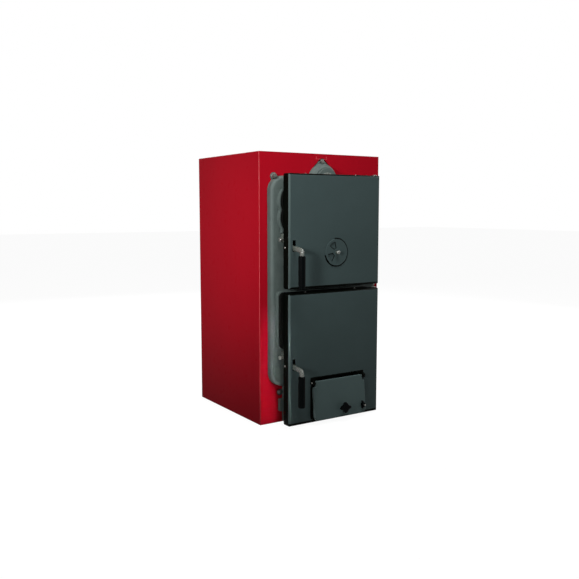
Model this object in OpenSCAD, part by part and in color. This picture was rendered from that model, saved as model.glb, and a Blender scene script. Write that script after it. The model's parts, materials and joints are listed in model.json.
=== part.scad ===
// Cast-iron solid fuel boiler with a red sheet jacket, a loading door and a firing and ash door.
// Millimetres. X runs across the front, Y towards the back, Z up. The origin is on the floor,
// under the middle of the jacket. "Proud" distances are measured forwards from the jacket's front.

/* [Doors] */
// Width of both doors
door_w = 388; // [370:1:420]
// Height of the upper, loading door
upper_door_h = 387; // [380:1:420]
// Height of the lower, firing and ash door
lower_door_h = 457; // [450:1:490]
// Gap between the two doors
door_gap = 15; // [12:1:24]
// Gap under the lower door
door_floor_gap = 5; // [3:1:12]
// Depth of a door's cover
door_t = 34; // [32:1:40]
// Distance from the jacket's front to the back of a door cover
door_standoff = 52; // [50:1:56]
// Wall of a door cover
cover_wall = 3; // [2.5:0.1:3.4]
// Front plate of a door cover
cover_front = 4; // [3:0.5:5]
// Radius of a door cover's front edges
door_edge_r = 8; // [4:0.5:10]

/* [Jacket] */
// Red front showing on each side of the doors
side_band = 63.5; // [58:0.5:80]
// Height of the jacket above the upper door
top_band = 74; // [70:1:110]
// Thickness of the jacket's sheet
sheet_t = 1.5; // [0.8:0.1:2]
// Height of the jacket's lower edge above the floor
jacket_floor_gap = 1; // [0.5:0.5:3]
// Width of the folded edges of the jacket's sheets
fold_w = 14; // [10:1:18]

/* [Cast block] */
// Distance that the front casting stands out of the jacket
cast_proud = 26; // [22:1:28]
// Depth of the front section inside the jacket
front_depth = 70; // [60:1:90]
// Depth of each middle section
middle_depth = 92; // [70:1:120]
// Depth of the rear section
rear_depth = 81; // [70:1:100]
// Distance from the rear section to the outside of the rear panel
rear_gap = 28; // [24:1:40]
// Thickness of a section's side wall, water space included
side_wall = 47; // [44:1:52]
// Thickness of a section's top wall, water space included
top_wall = 58; // [54:1:64]
// Thickness of the iron round the water space
iron_t = 9; // [7:0.5:11]
// Radius of the block's outer corners
block_corner_r = 52; // [40:1:56]

/* [Handles] */
// Depth of the handle's grip in front of the jacket
grip_proud = 133; // [122:1:145]
// Length of the grip
grip_l = 107; // [90:1:120]
// Radius of the grip
grip_r = 12; // [9:0.5:13]
// Radius of the spindle inside the grip
spindle_r = 5; // [4.5:0.5:6]
// Width of the lever's bar seen from the front
lever_w = 10; // [6:0.5:10]
// Height of the lever's bar seen from the side
lever_h = 17; // [12:0.5:18]
// Radius of the lever's pivot pin
pivot_r = 3; // [2.5:0.5:4]

/* [Air] */
// Radius of the secondary air rosette
rosette_r = 46; // [40:1:56]
// Width of the ash door's air flap
flap_w = 222; // [200:1:240]
// Height of the air flap
flap_h = 137; // [120:1:142]
// Thickness of the air flap
flap_t = 11; // [9:0.5:13]
// Angle at which the set screw holds the air flap open
flap_tilt = 5; // [3:0.5:8]

/* [Connections] */
// Outer radius of the flue collar
flue_r = 75; // [65:1:80]
// Wall of the flue collar
flue_wall = 5; // [4:0.5:7]
// Length of the flue collar behind the rear panel
flue_l = 85; // [75:1:110]
// Outer radius of the flow pipe's stub
flow_r = 30; // [24:1:32]
// Outer radius of the return pipe's stub
return_r = 24; // [20:1:26]
// Wall of the pipe stubs
stub_wall = 4; // [3:0.5:6]
// Length of the pipe stubs behind the rear panel
stub_l = 40; // [30:1:60]

/* [Hidden] */
$fn = 48;

// Clearances and overruns
cut = 2;             // how far a cut runs past the face it opens
fit = 0.3;           // between still round pieces and what they lie in
running = 0.05;      // radial clearance of a pin in its bore
seat_gap = 0.4;      // between a piece and the pocket that holds it

// Heights, stacked from the floor
lower_z0 = door_floor_gap;
lower_z1 = lower_z0 + lower_door_h;
upper_z0 = lower_z1 + door_gap;
upper_z1 = upper_z0 + upper_door_h;
body_h = upper_z1 + top_band;

// Jacket
body_w = door_w + 2 * side_band;
body_d = front_depth + 3 * middle_depth + rear_depth + rear_gap;
half_w = body_w / 2;
half_door = door_w / 2;
panel_in = half_w - sheet_t;
function front_y(proud) = -body_d / 2 - proud;

// Cast block
block_in = 32;                   // from the jacket's side to the sections' main body
block_drop = 6;                  // from the upper door's top to the main body's
block_side = half_w - block_in;
block_z1 = upper_z1 - block_drop;
block_z0 = 133;                  // underside of the main body, above the ash pit
tray_t = 3;
leg_in = 58;                     // from the main body's side to the ash pit's legs
ash_half = block_side - leg_in;
ash_wall = 22;
chamber_half = block_side - side_wall;
chamber_z0 = 158;                // underside of the wide chamber
chamber_corner_r = 20;
chamber_z1 = block_z1 - top_wall;
hub_r = 60;
hub_drop = 14;
hub_z = block_z1 - hub_drop;
hub_bore_r = 30;
hub_step = 6;                    // how far the upper hub's foot stands out of the jacket
boss_in = 18;
boss_h = 6;
boss_r = hub_r - boss_in;
boss_proud = cast_proud + boss_h;
plug_wall = 4;
plug_r = hub_bore_r - plug_wall;
plug_l = 12;
lug_step = 2;
low_hub_r = 38;
low_hub_bore_r = 22;
low_hub_x = -(block_side - low_hub_r);
low_hub_rise = 54;
low_hub_z = block_z0 + low_hub_rise;
top_lug_rise = 8;
top_lug_z = hub_z + hub_r + top_lug_rise;
rod_r = 5;
lug_r = 13;
hub_lug_r = 18;
hub_lug_drop = 8;                // from the top tie rod to the middle of its lug
hub_lug_z = top_lug_z - hub_lug_drop;
hub_lug_lean = acos((hub_r - hub_lug_r) / (hub_lug_z - hub_z));
lug_root_x = 30;                 // from a corner lug's rod to its root in the body
lug_root_z = 40;
corner_rod_in = 24.5;            // the upper tie rods' places inside the main body's corners
corner_rod_drop = 2;
corner_rod_x = block_side - corner_rod_in;
corner_rod_z = block_z1 - corner_rod_drop;
foot_rod_out = 9;                // the lower tie rods' places beside the legs
foot_rod_drop = 25;
foot_rod_x = ash_half + foot_rod_out;
foot_rod_z = block_z0 - foot_rod_drop;
ROD_PLACES = [
    [0, top_lug_z], [-corner_rod_x, corner_rod_z], [corner_rod_x, corner_rod_z],
    [-foot_rod_x, foot_rod_z], [foot_rod_x, foot_rod_z]
];
pad_w = 16;                      // the foot pads' reach past the ash pit's legs
pad_z0 = 41;
pad_z1 = 86;
pad_corner_r = 5;
pad_proud = 12;
wall_in = 16;                    // depth inside the jacket of the front wall's inner face
front_back_y = front_y(-front_depth);
rear_front_y = front_back_y + 3 * middle_depth;
rear_back_y = rear_front_y + rear_depth;
chamber_y0 = front_y(-wall_in);
chamber_y1 = rear_back_y - side_wall / 2;

// Openings in the front section and the seats round them
rim_h = 10;
rim_proud = cast_proud + rim_h;
seat_grow = 3;                 // the rim's reach past the door's seat ring
seat_ring_w = 18;                // width of the rim and of the door's seat ring
seat_out = 4.5;                  // the reach of the upper seat ring's lobes past the cover's left edge
seat_lobe_r = 64;                // radius of those lobes
seat_lobe_h = 12;                // and how far they stand out of the ring's straight side
low_seat_out = 11.5;             // and the lower one's, which shows past the cover
latch_bay_w = 42;                // room left free for the latch
seat_left = -half_door - seat_out;
low_seat_left = -half_door - low_seat_out;
latch_bay_x = -half_door + latch_bay_w;
seat_corner_r = 16;
open_corner_r = 12;
ash_corner_r = 5;
load_seat_rise = 62;
load_bay_drop = 195;
load_seat_drop = 54;
load_seat_z0 = upper_z0 + load_seat_rise;
load_bay_z1 = upper_z1 - load_bay_drop;
load_seat_z1 = upper_z1 - load_seat_drop;
lobe_low_rise = 47.5;             // from the top of the latch's bay to the middle of the lower lobe
lobe_high_drop = 38.5;            // from the seat's top to the middle of the upper lobe
seat_lobe_zs = [load_bay_z1 + lobe_low_rise, load_seat_z1 - lobe_high_drop];
grate_t = 20;
grate_rise = 17;                 // from the lower hub to the grate's underside
grate_z1 = low_hub_z + low_hub_r + grate_rise + grate_t;
fire_seat_rise = 8;              // from the grate's top to the firing opening's seat
fire_seat_over = 2;
fire_seat_z0 = grate_z1 + fire_seat_rise;
fire_seat_z1 = lower_z1 + fire_seat_over;
ash_seat_in = 12;
ash_seat_gap = 3;
ash_seat_half = ash_half - ash_seat_in;
ash_seat_z0 = lower_z0 + ash_seat_gap;
ash_seat_z1 = block_z0 - ash_seat_gap;
mouth_z0 = ash_seat_z0 + seat_ring_w;

// Latches and levers
upper_pivot_drop = 52;           // from the top of the latch's bay to the pivot
lower_pivot_drop = 57;           // from the firing opening's seat to the pivot
upper_pivot_z = load_bay_z1 - upper_pivot_drop;
lower_pivot_z = fire_seat_z0 - lower_pivot_drop;
pivot_depth = 8.7;
pivot_proud = door_standoff + pivot_depth;
lever_in = 20.5;                 // from the door's left edge to the middle of the lever
lever_x = -half_door + lever_in;
lever_play = 1;                  // between the lever and its bosses
lever_eye_over = 2;              // the lever's eye round its pivot
finger_thin = 7;                 // the finger's bar is thinner by this
catch_pin_r = 5;
catch_pin_out = 12;
catch_pin_proud = cast_proud + catch_pin_out;
catch_head_over = 2;
catch_rise = 26;                 // height of the catch pin above the lever's pivot
claw_gap = 0.6;
catch_ear_gap = 7;               // between the lever and each ear of the catch
catch_ear_t = 3;
catch_ear_over = 9;              // ear iron round the pin
catch_ear_rise = 20;
catch_reach = 14;                // the pin's reach past the bracket towards the side
lever_bend_shares = [0.45, 0.03]; // the lever's first bend, as shares of the door's depth
finger_share = 0.66;             // height of the finger's end, as a share of the catch's rise
lever_elbow_r = 10;
lever_elbow_steps = 5;
spindle_l = 70;
spindle_end = 1;                 // gap in the grip past the spindle's end
rod_over = 3;
foot_r = 7;
grip_top_drop = 25;              // top of the grip below the pivot
lever_elbow_drop = grip_top_drop - lever_elbow_r - lever_h / 2 - 2 * fit;
slot_rise = 25.5;
slot_drop = 13;
slot_play = 2;
slot_w = lever_w + slot_play;
boss_w = 8;
boss_over = 7;                   // boss iron in front of the pin
boss_half_h = 14;
pin_over = 2;                    // a pin's reach past what carries its inner end
pin_end = 1;                     // and past the sheet or the ear at its outer end
boss_gap = 4;                    // between the bosses and the insulation
bay_drop = 40;                   // room in the insulation under and over the pivot
bay_rise = 50;

// Hinges
hinge_in = 6;
hinge_depth = 10;
hinge_x = half_door - hinge_in;
hinge_proud = door_standoff + hinge_depth;
hinge_rod_r = 4.5;
eye_r = 9;
eye_h = 20;
bay_play = 7;                    // room kept free in front of a hinge eye
bay_gap = 2;                     // and beside, over and under it
bay_r = eye_r + bay_play;
lug_arm_w = 13;
lug_play = 2;
seat_right = hinge_x - lug_arm_w / 2 - lug_play;   // the seat rings end beside the lugs' arms
hinge_inset = 46;                // lowest lug above the door's bottom, highest below its top
upper_lug_zs = [upper_z0 + hinge_inset, upper_z1 - hinge_inset - 2 * eye_h];
lower_lug_zs = [lower_z0 + hinge_inset, lower_z1 - hinge_inset - 2 * eye_h];

// Inside the doors
base_t = 6;                      // the cast door's base plate
rope_w = 8;
rope_d = 5;
ring_gap = 4;                    // from the front section's rims to the doors' rings
shield_t = 5;
shield_inset = 12;
shield_foot_in = 2;              // from the shield's edge to its feet
insulation_gap = 1;
cover_proud = door_standoff + door_t;

// Rosette
rosette_x = 0;
rosette_rise = 120;
rosette_z = upper_z0 + rosette_rise;
rosette_t = 4;
rosette_shares = [0.3, 0.8];      // where its windows begin and end, as shares of its radius
rosette_port_r0 = rosette_r * rosette_shares[0];
rosette_port_r1 = rosette_r * rosette_shares[1];
ROSETTE_WINDOWS = [[98, 142], [188, 238]];   // the disc's windows, degrees from +X
rosette_turn = 50;
knob_r = 6;
knob_stem_r = 4;
knob_collar_over = 2;            // the collar on the stem behind the cover
knob_proud = 16;
// Turned outline of the rosette's knob, as shares of its radius and its length
knob_shares = [[0, 0], [1, 0], [1, 0.2], [0.8, 0.3], [0.8, 0.45], [1, 0.7], [1, 0.82], [0.7, 1], [0, 1]];

// Air flap
flap_x = 10;                     // the flap's middle
flap_rise = 148;                 // its upper edge above the door's lower edge
flap_z1 = lower_z0 + flap_rise;
flap_corner_r = 14;
flap_gap = 1.5;                    // between the flap and the door at the hinge
flap_hinge_drop = 4;             // pin below the flap's upper edge
flap_hinge_proud = cover_proud + flap_gap + flap_t / 2;
flap_hinge_z = flap_z1 - flap_hinge_drop;
flap_pin_r = 3;
ear_w = 9;
ear_r = 9;
ear_out = 3;                     // the ears' reach past the flap's sides
notch_w = 10;                    // cut out of the flap's upper corners beside the ears
notch_h = 20;
inlet_in_left = 18;              // the flap's overlap round the air inlet
inlet_in_right = 24;
inlet_in_low = 20;
inlet_over = 10.5;               // the inlet's reach above the flap
inlet_x0 = flap_x - flap_w / 2 + inlet_in_left;
inlet_x1 = flap_x + flap_w / 2 - inlet_in_right;
inlet_z0 = flap_z1 - flap_h + inlet_in_low;
inlet_z1 = flap_z1 + inlet_over;
duct_wall = 4;
knob_off = 8;                    // from the flap's middle to its knob
knob_rise = 33;                  // and from its lower edge
knob_x = flap_x + knob_off;
knob_z = flap_z1 - flap_h + knob_rise;
knob_half_w = 23;
knob_half_h = 19;
flap_knob_t = 9;
flap_stem_l = 14;
flap_stem_r = 5;
set_in = 15;                     // from the flap's right edge to its set screw
set_rise = 29;
set_x = flap_x + flap_w / 2 - set_in;
set_z = flap_z1 - flap_h + set_rise;
set_r = 3;
set_l = 40;
wing_reach = 14;
wing_t = 7;
wing_h = 12;
wing_wall = 4;
wing_foot = 5;                   // height of the wings' straight foot
pin_l = 24;
stud_share = 0.6;                // the knob's stud, as a share of its stem's radius
knob_lobe_r = 9;
knob_tip_r = 5;

// Connections at the back
shaft_up = 30;                   // the damper shaft's reach above the collar
flue_gap = 9;                    // from the shaft's top to the flow stub
flue_z = hub_z - flow_r - flue_gap - shaft_up - flue_r;
hood_over_w = 22;
hood_over_h = 6;
hood_half_w = flue_r + hood_over_w;
hood_half_h = flue_r + hood_over_h;
hole_gap = 2;                    // round the pipes in the rear panel
hood_t = 14;
hood_corner_r = 20;
shaft_hub_over = 3;
flange_t = 12;
flow_flange_r = 48;
return_flange_r = 38;
flue_y1 = body_d / 2 + flue_l;
stub_y1 = body_d / 2 + stub_l;
damper_share = 0.38;             // the damper's place along the flue collar, as a share
damper_y = body_d / 2 + flue_l * damper_share;
stop_ring_w = 4;                 // ring round the damper's shaft, where the flue pipe stops
stop_ring_l = 10;                // its length behind the shaft
damper_play = 2.5;
damper_r = flue_r - flue_wall - damper_play;
damper_t = 4;
damper_hub_share = 0.6;          // length of the disc's hub, as a share of the disc
shaft_r = 5;
damper_arm_l = 84;
damper_arm_t = 5;
shaft_end = 2;                   // the shaft's reach under the collar
bolt_r = 3;
bolt_flats = 10;
bolt_head_h = 4;
hood_bolt_in_x = 11;
hood_bolt_in_z = 12;
hood_bolt_x = hood_half_w - hood_bolt_in_x;
hood_bolt_z = hood_half_h - hood_bolt_in_z;
flow_ring_out = 9;               // from a stub to the ring of its flange's bolts
return_ring_out = 7.5;
flow_bolt_ring_r = flow_r + flow_ring_out;
return_bolt_ring_r = return_r + return_ring_out;

// Grate, pan and insulation
// Tie rods' nuts, nipples and the upper hub's cap
nut_h = 8;
thread_end = 2;
nipple_wall = 5;
nipple_reach = 18;
cap_t = 4;
cap_hex_h = 12;
nut_flats = 16;
washer_t = 2;
washer_r = 10;
plug_flats = 30;
spot_play = 1;                   // round a washer on its spot face
cap_over = 2;                    // the cap's reach past the plug
block_step = 6;                  // from the jacket's front sheet to the sections' rim

// Seat of a tie rod's front washer
function rod_front(p) = front_y(
    abs(p[0]) > hub_r && p[1] > hub_z ? lug_step : -sheet_t - block_step);

ledge_w = 12;
bar_share = 0.62;                // iron in the grate, as a share of its pitch
grate_gap = 2;                   // at the grate's front and back
grate_play = 1;                  // and at its sides
grate_bars = 13;
runner_w = 20;
runner_share = 0.7;              // the runners' place across the pan, as a share of its half width
pan_t = 1.5;
pan_gap = 6;
pan_h = 68;
pan_side_gap = 15;
pan_half = ash_half - ash_wall - pan_side_gap;
wrap_t = 26;
wrap_gap = 3.5;                  // from the top lug to the insulation over it
wrap_top_z0 = hub_lug_z + hub_lug_r + wrap_gap;
pan_grip_w = 90;
pan_grip_d = 14;
grip_bar_t = 4;
screw_r = 2;
screw_l = 16;
cover_screw_r = 1.75;
cover_screw_share = 0.55;        // the cover screws' place, as a share of the door's half width
panel_screw_in = 60;             // from the rear panel's ends to its outer screws

// Outlines

// Rounded rectangle from one corner to the other
module rounded(x0, z0, x1, z1, r) {
    translate([x0 + r, z0]) square([x1 - x0 - 2 * r, z1 - z0]);
    translate([x0, z0 + r]) square([x1 - x0, z1 - z0 - 2 * r]);
    for (x = [x0 + r, x1 - r], z = [z0 + r, z1 - r]) translate([x, z]) circle(r);
}

// Rectangle from one corner to the other
module rect(x0, z0, x1, z1) {
    translate([x0, z0]) square([x1 - x0, z1 - z0]);
}

// Straight bar of width w between two points
module bar(a, b, w) {
    translate(a) rotate(atan2(b[1] - a[1], b[0] - a[0])) translate([0, -w / 2]) square([norm(b - a), w]);
}

// Stands an X-Z outline up between two proud distances
module upright(proud0, proud1) {
    translate([0, front_y(proud0), 0]) rotate([90, 0, 0]) linear_extrude(proud1 - proud0) children();
}

// Stands an X-Z outline up between two Y places
module between_y(y0, y1) {
    translate([0, y1, 0]) rotate([90, 0, 0]) linear_extrude(y1 - y0) children();
}

// Lays an outline of (proud, Z) points between two X places
module sideways(x0, x1) {
    translate([x0, front_y(0), 0]) rotate([90, 0, 90]) linear_extrude(x1 - x0) mirror([1, 0]) children();
}

// Round bar along Y between two Y places
module round_y(x, z, r, y0, y1) {
    translate([x, y1, z]) rotate([90, 0, 0]) cylinder(h = y1 - y0, r = r);
}

// Round bar along X between two X places
module round_x(y, z, r, x0, x1) {
    translate([x0, y, z]) rotate([0, 90, 0]) cylinder(h = x1 - x0, r = r);
}

// Hexagonal nut along Y
module hex_y(x, z, flats, y0, y1) {
    translate([x, y1, z]) rotate([90, 0, 0]) cylinder(h = y1 - y0, r = flats / sqrt(3), $fn = 6);
}

// Slice of a ring
module sector(r0, r1, a0, a1) {
    intersection() {
        difference() {
            circle(r1);
            circle(r0);
        }
        polygon([[0, 0], for (a = [a0, (a0 + a1) / 2, a1]) 2 * r1 * [cos(a), sin(a)]]);
    }
}

// Outline of a section's main body and ash pit legs
module block_outline() {
    rounded(-block_side, block_z0, block_side, block_z1, block_corner_r);
    rect(-ash_half, tray_t, ash_half, block_z0 + block_corner_r);
}

// Outline of the part of the front section that stands out of the jacket
module front_outline(grow = 0) {
    rounded(-block_side - grow, block_z0 - grow, block_side + grow, block_z1 + grow,
        block_corner_r + grow);
    rect(-ash_half - grow, tray_t - grow, ash_half + grow, block_z0 + block_corner_r);
}

// Outline of the foot pads
module pad_outline(grow = 0) {
    rounded(-ash_half - pad_w - grow, pad_z0 - grow, ash_half + pad_w + grow, pad_z1 + grow,
        pad_corner_r + grow);
}

// Outline of the upper hub with its lug
module hub_outline(grow = 0) {
    rim = [sin(hub_lug_lean), cos(hub_lug_lean)];
    low = (hub_r + grow - fit) * rim;
    high = (hub_lug_r + grow - fit) * rim;
    translate([0, hub_z]) circle(hub_r + grow);
    translate([0, hub_lug_z]) circle(hub_lug_r + grow);
    polygon([
        [-low[0], hub_z + low[1]], [-high[0], hub_lug_z + high[1]],
        [high[0], hub_lug_z + high[1]], [low[0], hub_z + low[1]]
    ]);
}

// Outline of the lugs that carry the upper tie rods
module corner_lug_outline(grow = 0) {
    for (side = [-1, 1]) {
        translate([side * corner_rod_x, corner_rod_z]) circle(lug_r + grow);
        bar([side * corner_rod_x, corner_rod_z], [side * (corner_rod_x - lug_root_x),
            corner_rod_z - lug_root_z],
            2 * (lug_r + grow));
    }
}

// Outline of the loading door's seat, with the bay for the latch left out
module load_seat(grow = 0) {
    difference() {
        union() {
            rounded(seat_left + seat_lobe_h - grow, load_seat_z0 - grow, seat_right + grow,
                load_seat_z1 + grow, seat_corner_r);
            intersection() {
                for (z = seat_lobe_zs)
                    translate([seat_left + seat_lobe_r, z]) circle(seat_lobe_r + grow);
                rect(seat_left - cut - grow, load_seat_z0 - grow, seat_left + seat_lobe_r,
                    load_seat_z1 + grow);
            }
        }
        rect(seat_left - cut - grow, load_seat_z0 - cut - grow, latch_bay_x - grow, load_bay_z1 - grow);
    }
}

module fire_seat(grow = 0) {
    rounded(low_seat_left - grow, fire_seat_z0 - grow, seat_right + grow, fire_seat_z1 + grow,
        seat_corner_r);
}

module ash_seat(grow = 0) {
    rounded(-ash_seat_half - grow, ash_seat_z0 - grow, ash_seat_half + grow, ash_seat_z1 + grow,
        ash_corner_r);
}

load_open = [
    latch_bay_x + seat_ring_w, load_seat_z0 + seat_ring_w,
    seat_right - seat_ring_w, load_seat_z1 - seat_ring_w, open_corner_r
];
fire_open = [
    latch_bay_x, fire_seat_z0 + seat_ring_w,
    seat_right - seat_ring_w, fire_seat_z1 - seat_ring_w, open_corner_r
];
ash_open = [
    -ash_seat_half + seat_ring_w, mouth_z0,
    ash_seat_half - seat_ring_w, ash_seat_z1 - seat_ring_w, ash_corner_r
];

// Outline of one of those openings
module opening(o) {
    rounded(o[0], o[1], o[2], o[3], o[4]);
}

// Cast block

module floor_tray() color("dimgray") {
    y0 = front_y(-sheet_t);
    y1 = body_d / 2 - sheet_t;
    translate([-panel_in, y0, 0]) cube([2 * panel_in, y1 - y0, tray_t]);
    for (side = [-1, 1])
        translate([side * pan_half * runner_share - runner_w / 2, chamber_y0, 0])
            cube([runner_w, chamber_y1 - chamber_y0, mouth_z0]);
}

// Iron of one section between two Y places, before it is hollowed
module section_iron(y0, y1) {
    between_y(y0, y1) hub_outline();
    between_y(y0, y1) {
        block_outline();
        corner_lug_outline();
        for (side = [-1, 1]) translate([side * foot_rod_x, foot_rod_z]) circle(lug_r);
        rect(-foot_rod_x, foot_rod_z - lug_r, foot_rod_x, foot_rod_z + lug_r);
        rect(-foot_rod_x - lug_r, foot_rod_z, foot_rod_x + lug_r, block_z0 + lug_r);
        translate([low_hub_x, low_hub_z]) circle(low_hub_r);
    }
}

// Fire chamber and ash pit, from one Y place to another
module section_hollow(y0, y1) {
    difference() {
        union() {
            between_y(y0, y1) rounded(-chamber_half, chamber_z0, chamber_half, chamber_z1,
                chamber_corner_r);
            between_y(y0, y1) rect(-ash_half + ash_wall, -cut, ash_half - ash_wall,
                chamber_z0 + ash_wall);
        }
        round_y(0, hub_z, hub_r, y0 - cut, y1 + cut);
        round_y(low_hub_x, low_hub_z, low_hub_r, y0 - cut, y1 + cut);
        for (side = [-1, 1])
            between_y(y0 - cut, y1 + cut)
                rect(side * chamber_half - ledge_w, grate_z1 - grate_t - ledge_w,
                    side * chamber_half + ledge_w, grate_z1 - grate_t);
    }
}

// Water space inside a section's walls
module section_water(y0, y1) {
    for (side = [-1, 1])
        translate([side * (block_side - side_wall / 2) - side_wall / 2 + iron_t, y0, low_hub_z])
            cube([side_wall - 2 * iron_t, y1 - y0, hub_z - low_hub_z - 2 * iron_t]);
    translate([-block_side + iron_t, y0, chamber_z1 + iron_t])
        cube([2 * (block_side - iron_t), y1 - y0, hub_z - iron_t - chamber_z1 - 2 * iron_t]);
}

// Bores along the block for the nipples and the tie rods
module section_bores(y0, y1) {
    round_y(0, hub_z, hub_bore_r, y0, y1);
    round_y(low_hub_x, low_hub_z, low_hub_bore_r, y0, y1);
    for (p = ROD_PLACES) round_y(p[0], p[1], rod_r + fit, y0 - cut, y1 + cut);
}

module middle_section(n) color("slategray") {
    y0 = front_back_y + (n - 1) * middle_depth;
    y1 = y0 + middle_depth;
    difference() {
        section_iron(y0, y1);
        section_hollow(y0 - cut, y1 + cut);
        section_water(y0 + iron_t, y1 - iron_t);
        section_bores(y0 - cut, y1 + cut);
    }
}

// Hinge lugs at the heights given, reaching out of the front casting
module hinge_lugs(zs) {
    for (z = zs) {
        translate([hinge_x, front_y(hinge_proud), z]) cylinder(h = eye_h, r = eye_r);
        translate([hinge_x - lug_arm_w / 2, front_y(hinge_proud), z])
            cube([lug_arm_w, hinge_proud - cast_proud + cut, eye_h]);
    }
}

module front_section() color("slategray") {
    behind = -sheet_t - block_step;
    difference() {
        union() {
            section_iron(front_y(behind), front_back_y);
            upright(behind - cut, cast_proud) front_outline();
            upright(behind - cut, pad_proud) pad_outline();
            round_y(0, hub_z, hub_r, front_y(hub_step), front_y(behind - cut));
            upright(behind - cut, lug_step) corner_lug_outline();
            translate([0, front_y(cast_proud), hub_z]) rotate([-90, 0, 0])
                cylinder(h = cast_proud - hub_step, r1 = hub_r - lug_r, r2 = hub_r);
            round_y(0, hub_z, boss_r, front_y(boss_proud), front_y(cast_proud - cut));
            upright(cast_proud - cut, rim_proud) {
                load_seat(seat_grow);
                fire_seat(seat_grow);
                ash_seat(seat_grow);
            }
            hinge_lugs(upper_lug_zs);
            hinge_lugs(lower_lug_zs);
        }
        section_hollow(chamber_y0, front_back_y + cut);
        for (o = [load_open, fire_open, ash_open]) upright(-wall_in - cut, rim_proud + cut) opening(o);
        section_water(front_y(iron_t - wall_in), front_back_y - iron_t);
        section_bores(front_y(-plug_l), front_back_y + cut);
        round_y(0, hub_z, plug_r, front_y(boss_proud + cut), front_y(-plug_l - cut));
        for (z = [each upper_lug_zs, each lower_lug_zs])
            translate([hinge_x, front_y(hinge_proud), z - cut]) cylinder(h = eye_h + 2 * cut,
                r = hinge_rod_r + running);
        for (p = ROD_PLACES) {
            round_y(p[0], p[1], rod_r + fit, front_y(cast_proud + cut), front_back_y + cut);
            round_y(p[0], p[1], washer_r + spot_play, front_y(cast_proud + cut), rod_front(p));
        }
    }
}

module rear_section() color("slategray") {
    difference() {
        section_iron(rear_front_y, rear_back_y);
        section_hollow(rear_front_y - cut, chamber_y1);
        section_water(rear_front_y + iron_t, rear_back_y - iron_t);
        section_bores(rear_front_y - cut, rear_back_y + cut);
        round_y(0, flue_z, flue_r - flue_wall, rear_front_y, rear_back_y + cut);
    }
}

module nipples(x, z, r) {
    for (n = [0:3])
        round_tube_y(x, z, r, r - nipple_wall, front_back_y + n * middle_depth - nipple_reach,
            front_back_y + n * middle_depth + nipple_reach);
}

// Tube along Y between two Y places
module round_tube_y(x, z, r1, r0, y0, y1) {
    difference() {
        round_y(x, z, r1, y0, y1);
        round_y(x, z, r0, y0 - cut, y1 + cut);
    }
}

module upper_nipples() color("gray") nipples(0, hub_z, hub_bore_r - fit);
module lower_nipples() color("gray") nipples(low_hub_x, low_hub_z, low_hub_bore_r - fit);

module tie_rods() color("silver")
    for (p = ROD_PLACES)
        round_y(p[0], p[1], rod_r, rod_front(p) - nut_h - washer_t - thread_end,
            rear_back_y + nut_h + washer_t + thread_end);

module tie_rod_nuts() color("silver")
    for (p = ROD_PLACES) difference() {
        union() {
            round_y(p[0], p[1], washer_r, rod_front(p) - washer_t, rod_front(p));
            hex_y(p[0], p[1], nut_flats, rod_front(p) - washer_t - nut_h, rod_front(p) - washer_t);
            round_y(p[0], p[1], washer_r, rear_back_y, rear_back_y + washer_t);
            hex_y(p[0], p[1], nut_flats, rear_back_y + washer_t, rear_back_y + washer_t + nut_h);
        }
        round_y(p[0], p[1], rod_r + running, rod_front(p) - 2 * nut_h, rear_back_y + 2 * nut_h);
    }

module hub_cap() color("slategray") {
    round_y(0, hub_z, plug_r + cap_over, front_y(boss_proud + cap_t), front_y(boss_proud));
    round_y(0, hub_z, plug_r - fit, front_y(boss_proud + cut), front_y(-plug_l));
    hex_y(0, hub_z, plug_flats, front_y(boss_proud + cap_hex_h), front_y(boss_proud + cut));
}

module fire_grate() color("dimgray") {
    y0 = chamber_y0 + grate_gap;
    y1 = chamber_y1 - grate_gap;
    reach = chamber_half - grate_play;
    pitch = 2 * reach / grate_bars;
    for (n = [0:grate_bars - 1])
        translate([-reach + pitch * (n + 0.5) - pitch * bar_share / 2, y0, grate_z1 - grate_t])
            cube([pitch * bar_share, y1 - y0, grate_t]);
    for (y = [y0, (y0 + y1) / 2 - grate_t / 2, y1 - grate_t])
        translate([-reach, y, grate_z1 - grate_t]) cube([2 * reach, grate_t, grate_t / 2]);
}

module ash_pan() color("darkslategray") {
    y0 = front_y(0);
    y1 = chamber_y1 - pan_gap;
    difference() {
        translate([-pan_half, y0, mouth_z0]) cube([2 * pan_half, y1 - y0, pan_h]);
        translate([-pan_half + pan_t, y0 + pan_t, mouth_z0 + pan_t])
            cube([2 * (pan_half - pan_t), y1 - y0 - 2 * pan_t, pan_h + cut]);
    }
    difference() {
        translate([-pan_grip_w / 2, y0 - pan_grip_d, mouth_z0 + pan_h / 2])
            cube([pan_grip_w, pan_grip_d + pan_t / 2, grip_bar_t]);
        translate([-pan_grip_w / 2 + grip_bar_t, y0 - pan_grip_d + grip_bar_t, mouth_z0])
            cube([pan_grip_w - 2 * grip_bar_t, pan_grip_d - grip_bar_t, pan_h]);
    }
}

// Jacket

module insulation_wrap() color("khaki") {
    y0 = front_y(-2 * sheet_t);
    y1 = rear_back_y;
    side = block_side + wrap_t;
    top = body_h - sheet_t;
    difference() {
        translate([-side, y0, tray_t + wrap_t]) cube([2 * side, y1 - y0, top - tray_t - wrap_t]);
        translate([-block_side, y0 - cut, 0]) cube([2 * block_side, y1 - y0 + 2 * cut, wrap_top_z0]);
    }
}

module side_panel(side) {
    z0 = jacket_floor_gap;
    z1 = body_h - sheet_t;
    y0 = front_y(-sheet_t);
    y1 = body_d / 2 - sheet_t;
    x0 = side < 0 ? -half_w : half_w - sheet_t;
    xf = side < 0 ? -half_w : half_w - fold_w;
    translate([x0, y0, z0]) cube([sheet_t, y1 - y0, z1 - z0]);
    difference() {
        for (y = [y0, y1 - sheet_t]) translate([xf, y, tray_t]) cube([fold_w, sheet_t, z1 - tray_t]);
        panel_screw_bores();
    }
}

module left_side_panel() color("firebrick") side_panel(-1);
module right_side_panel() color("firebrick") side_panel(1);

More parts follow.
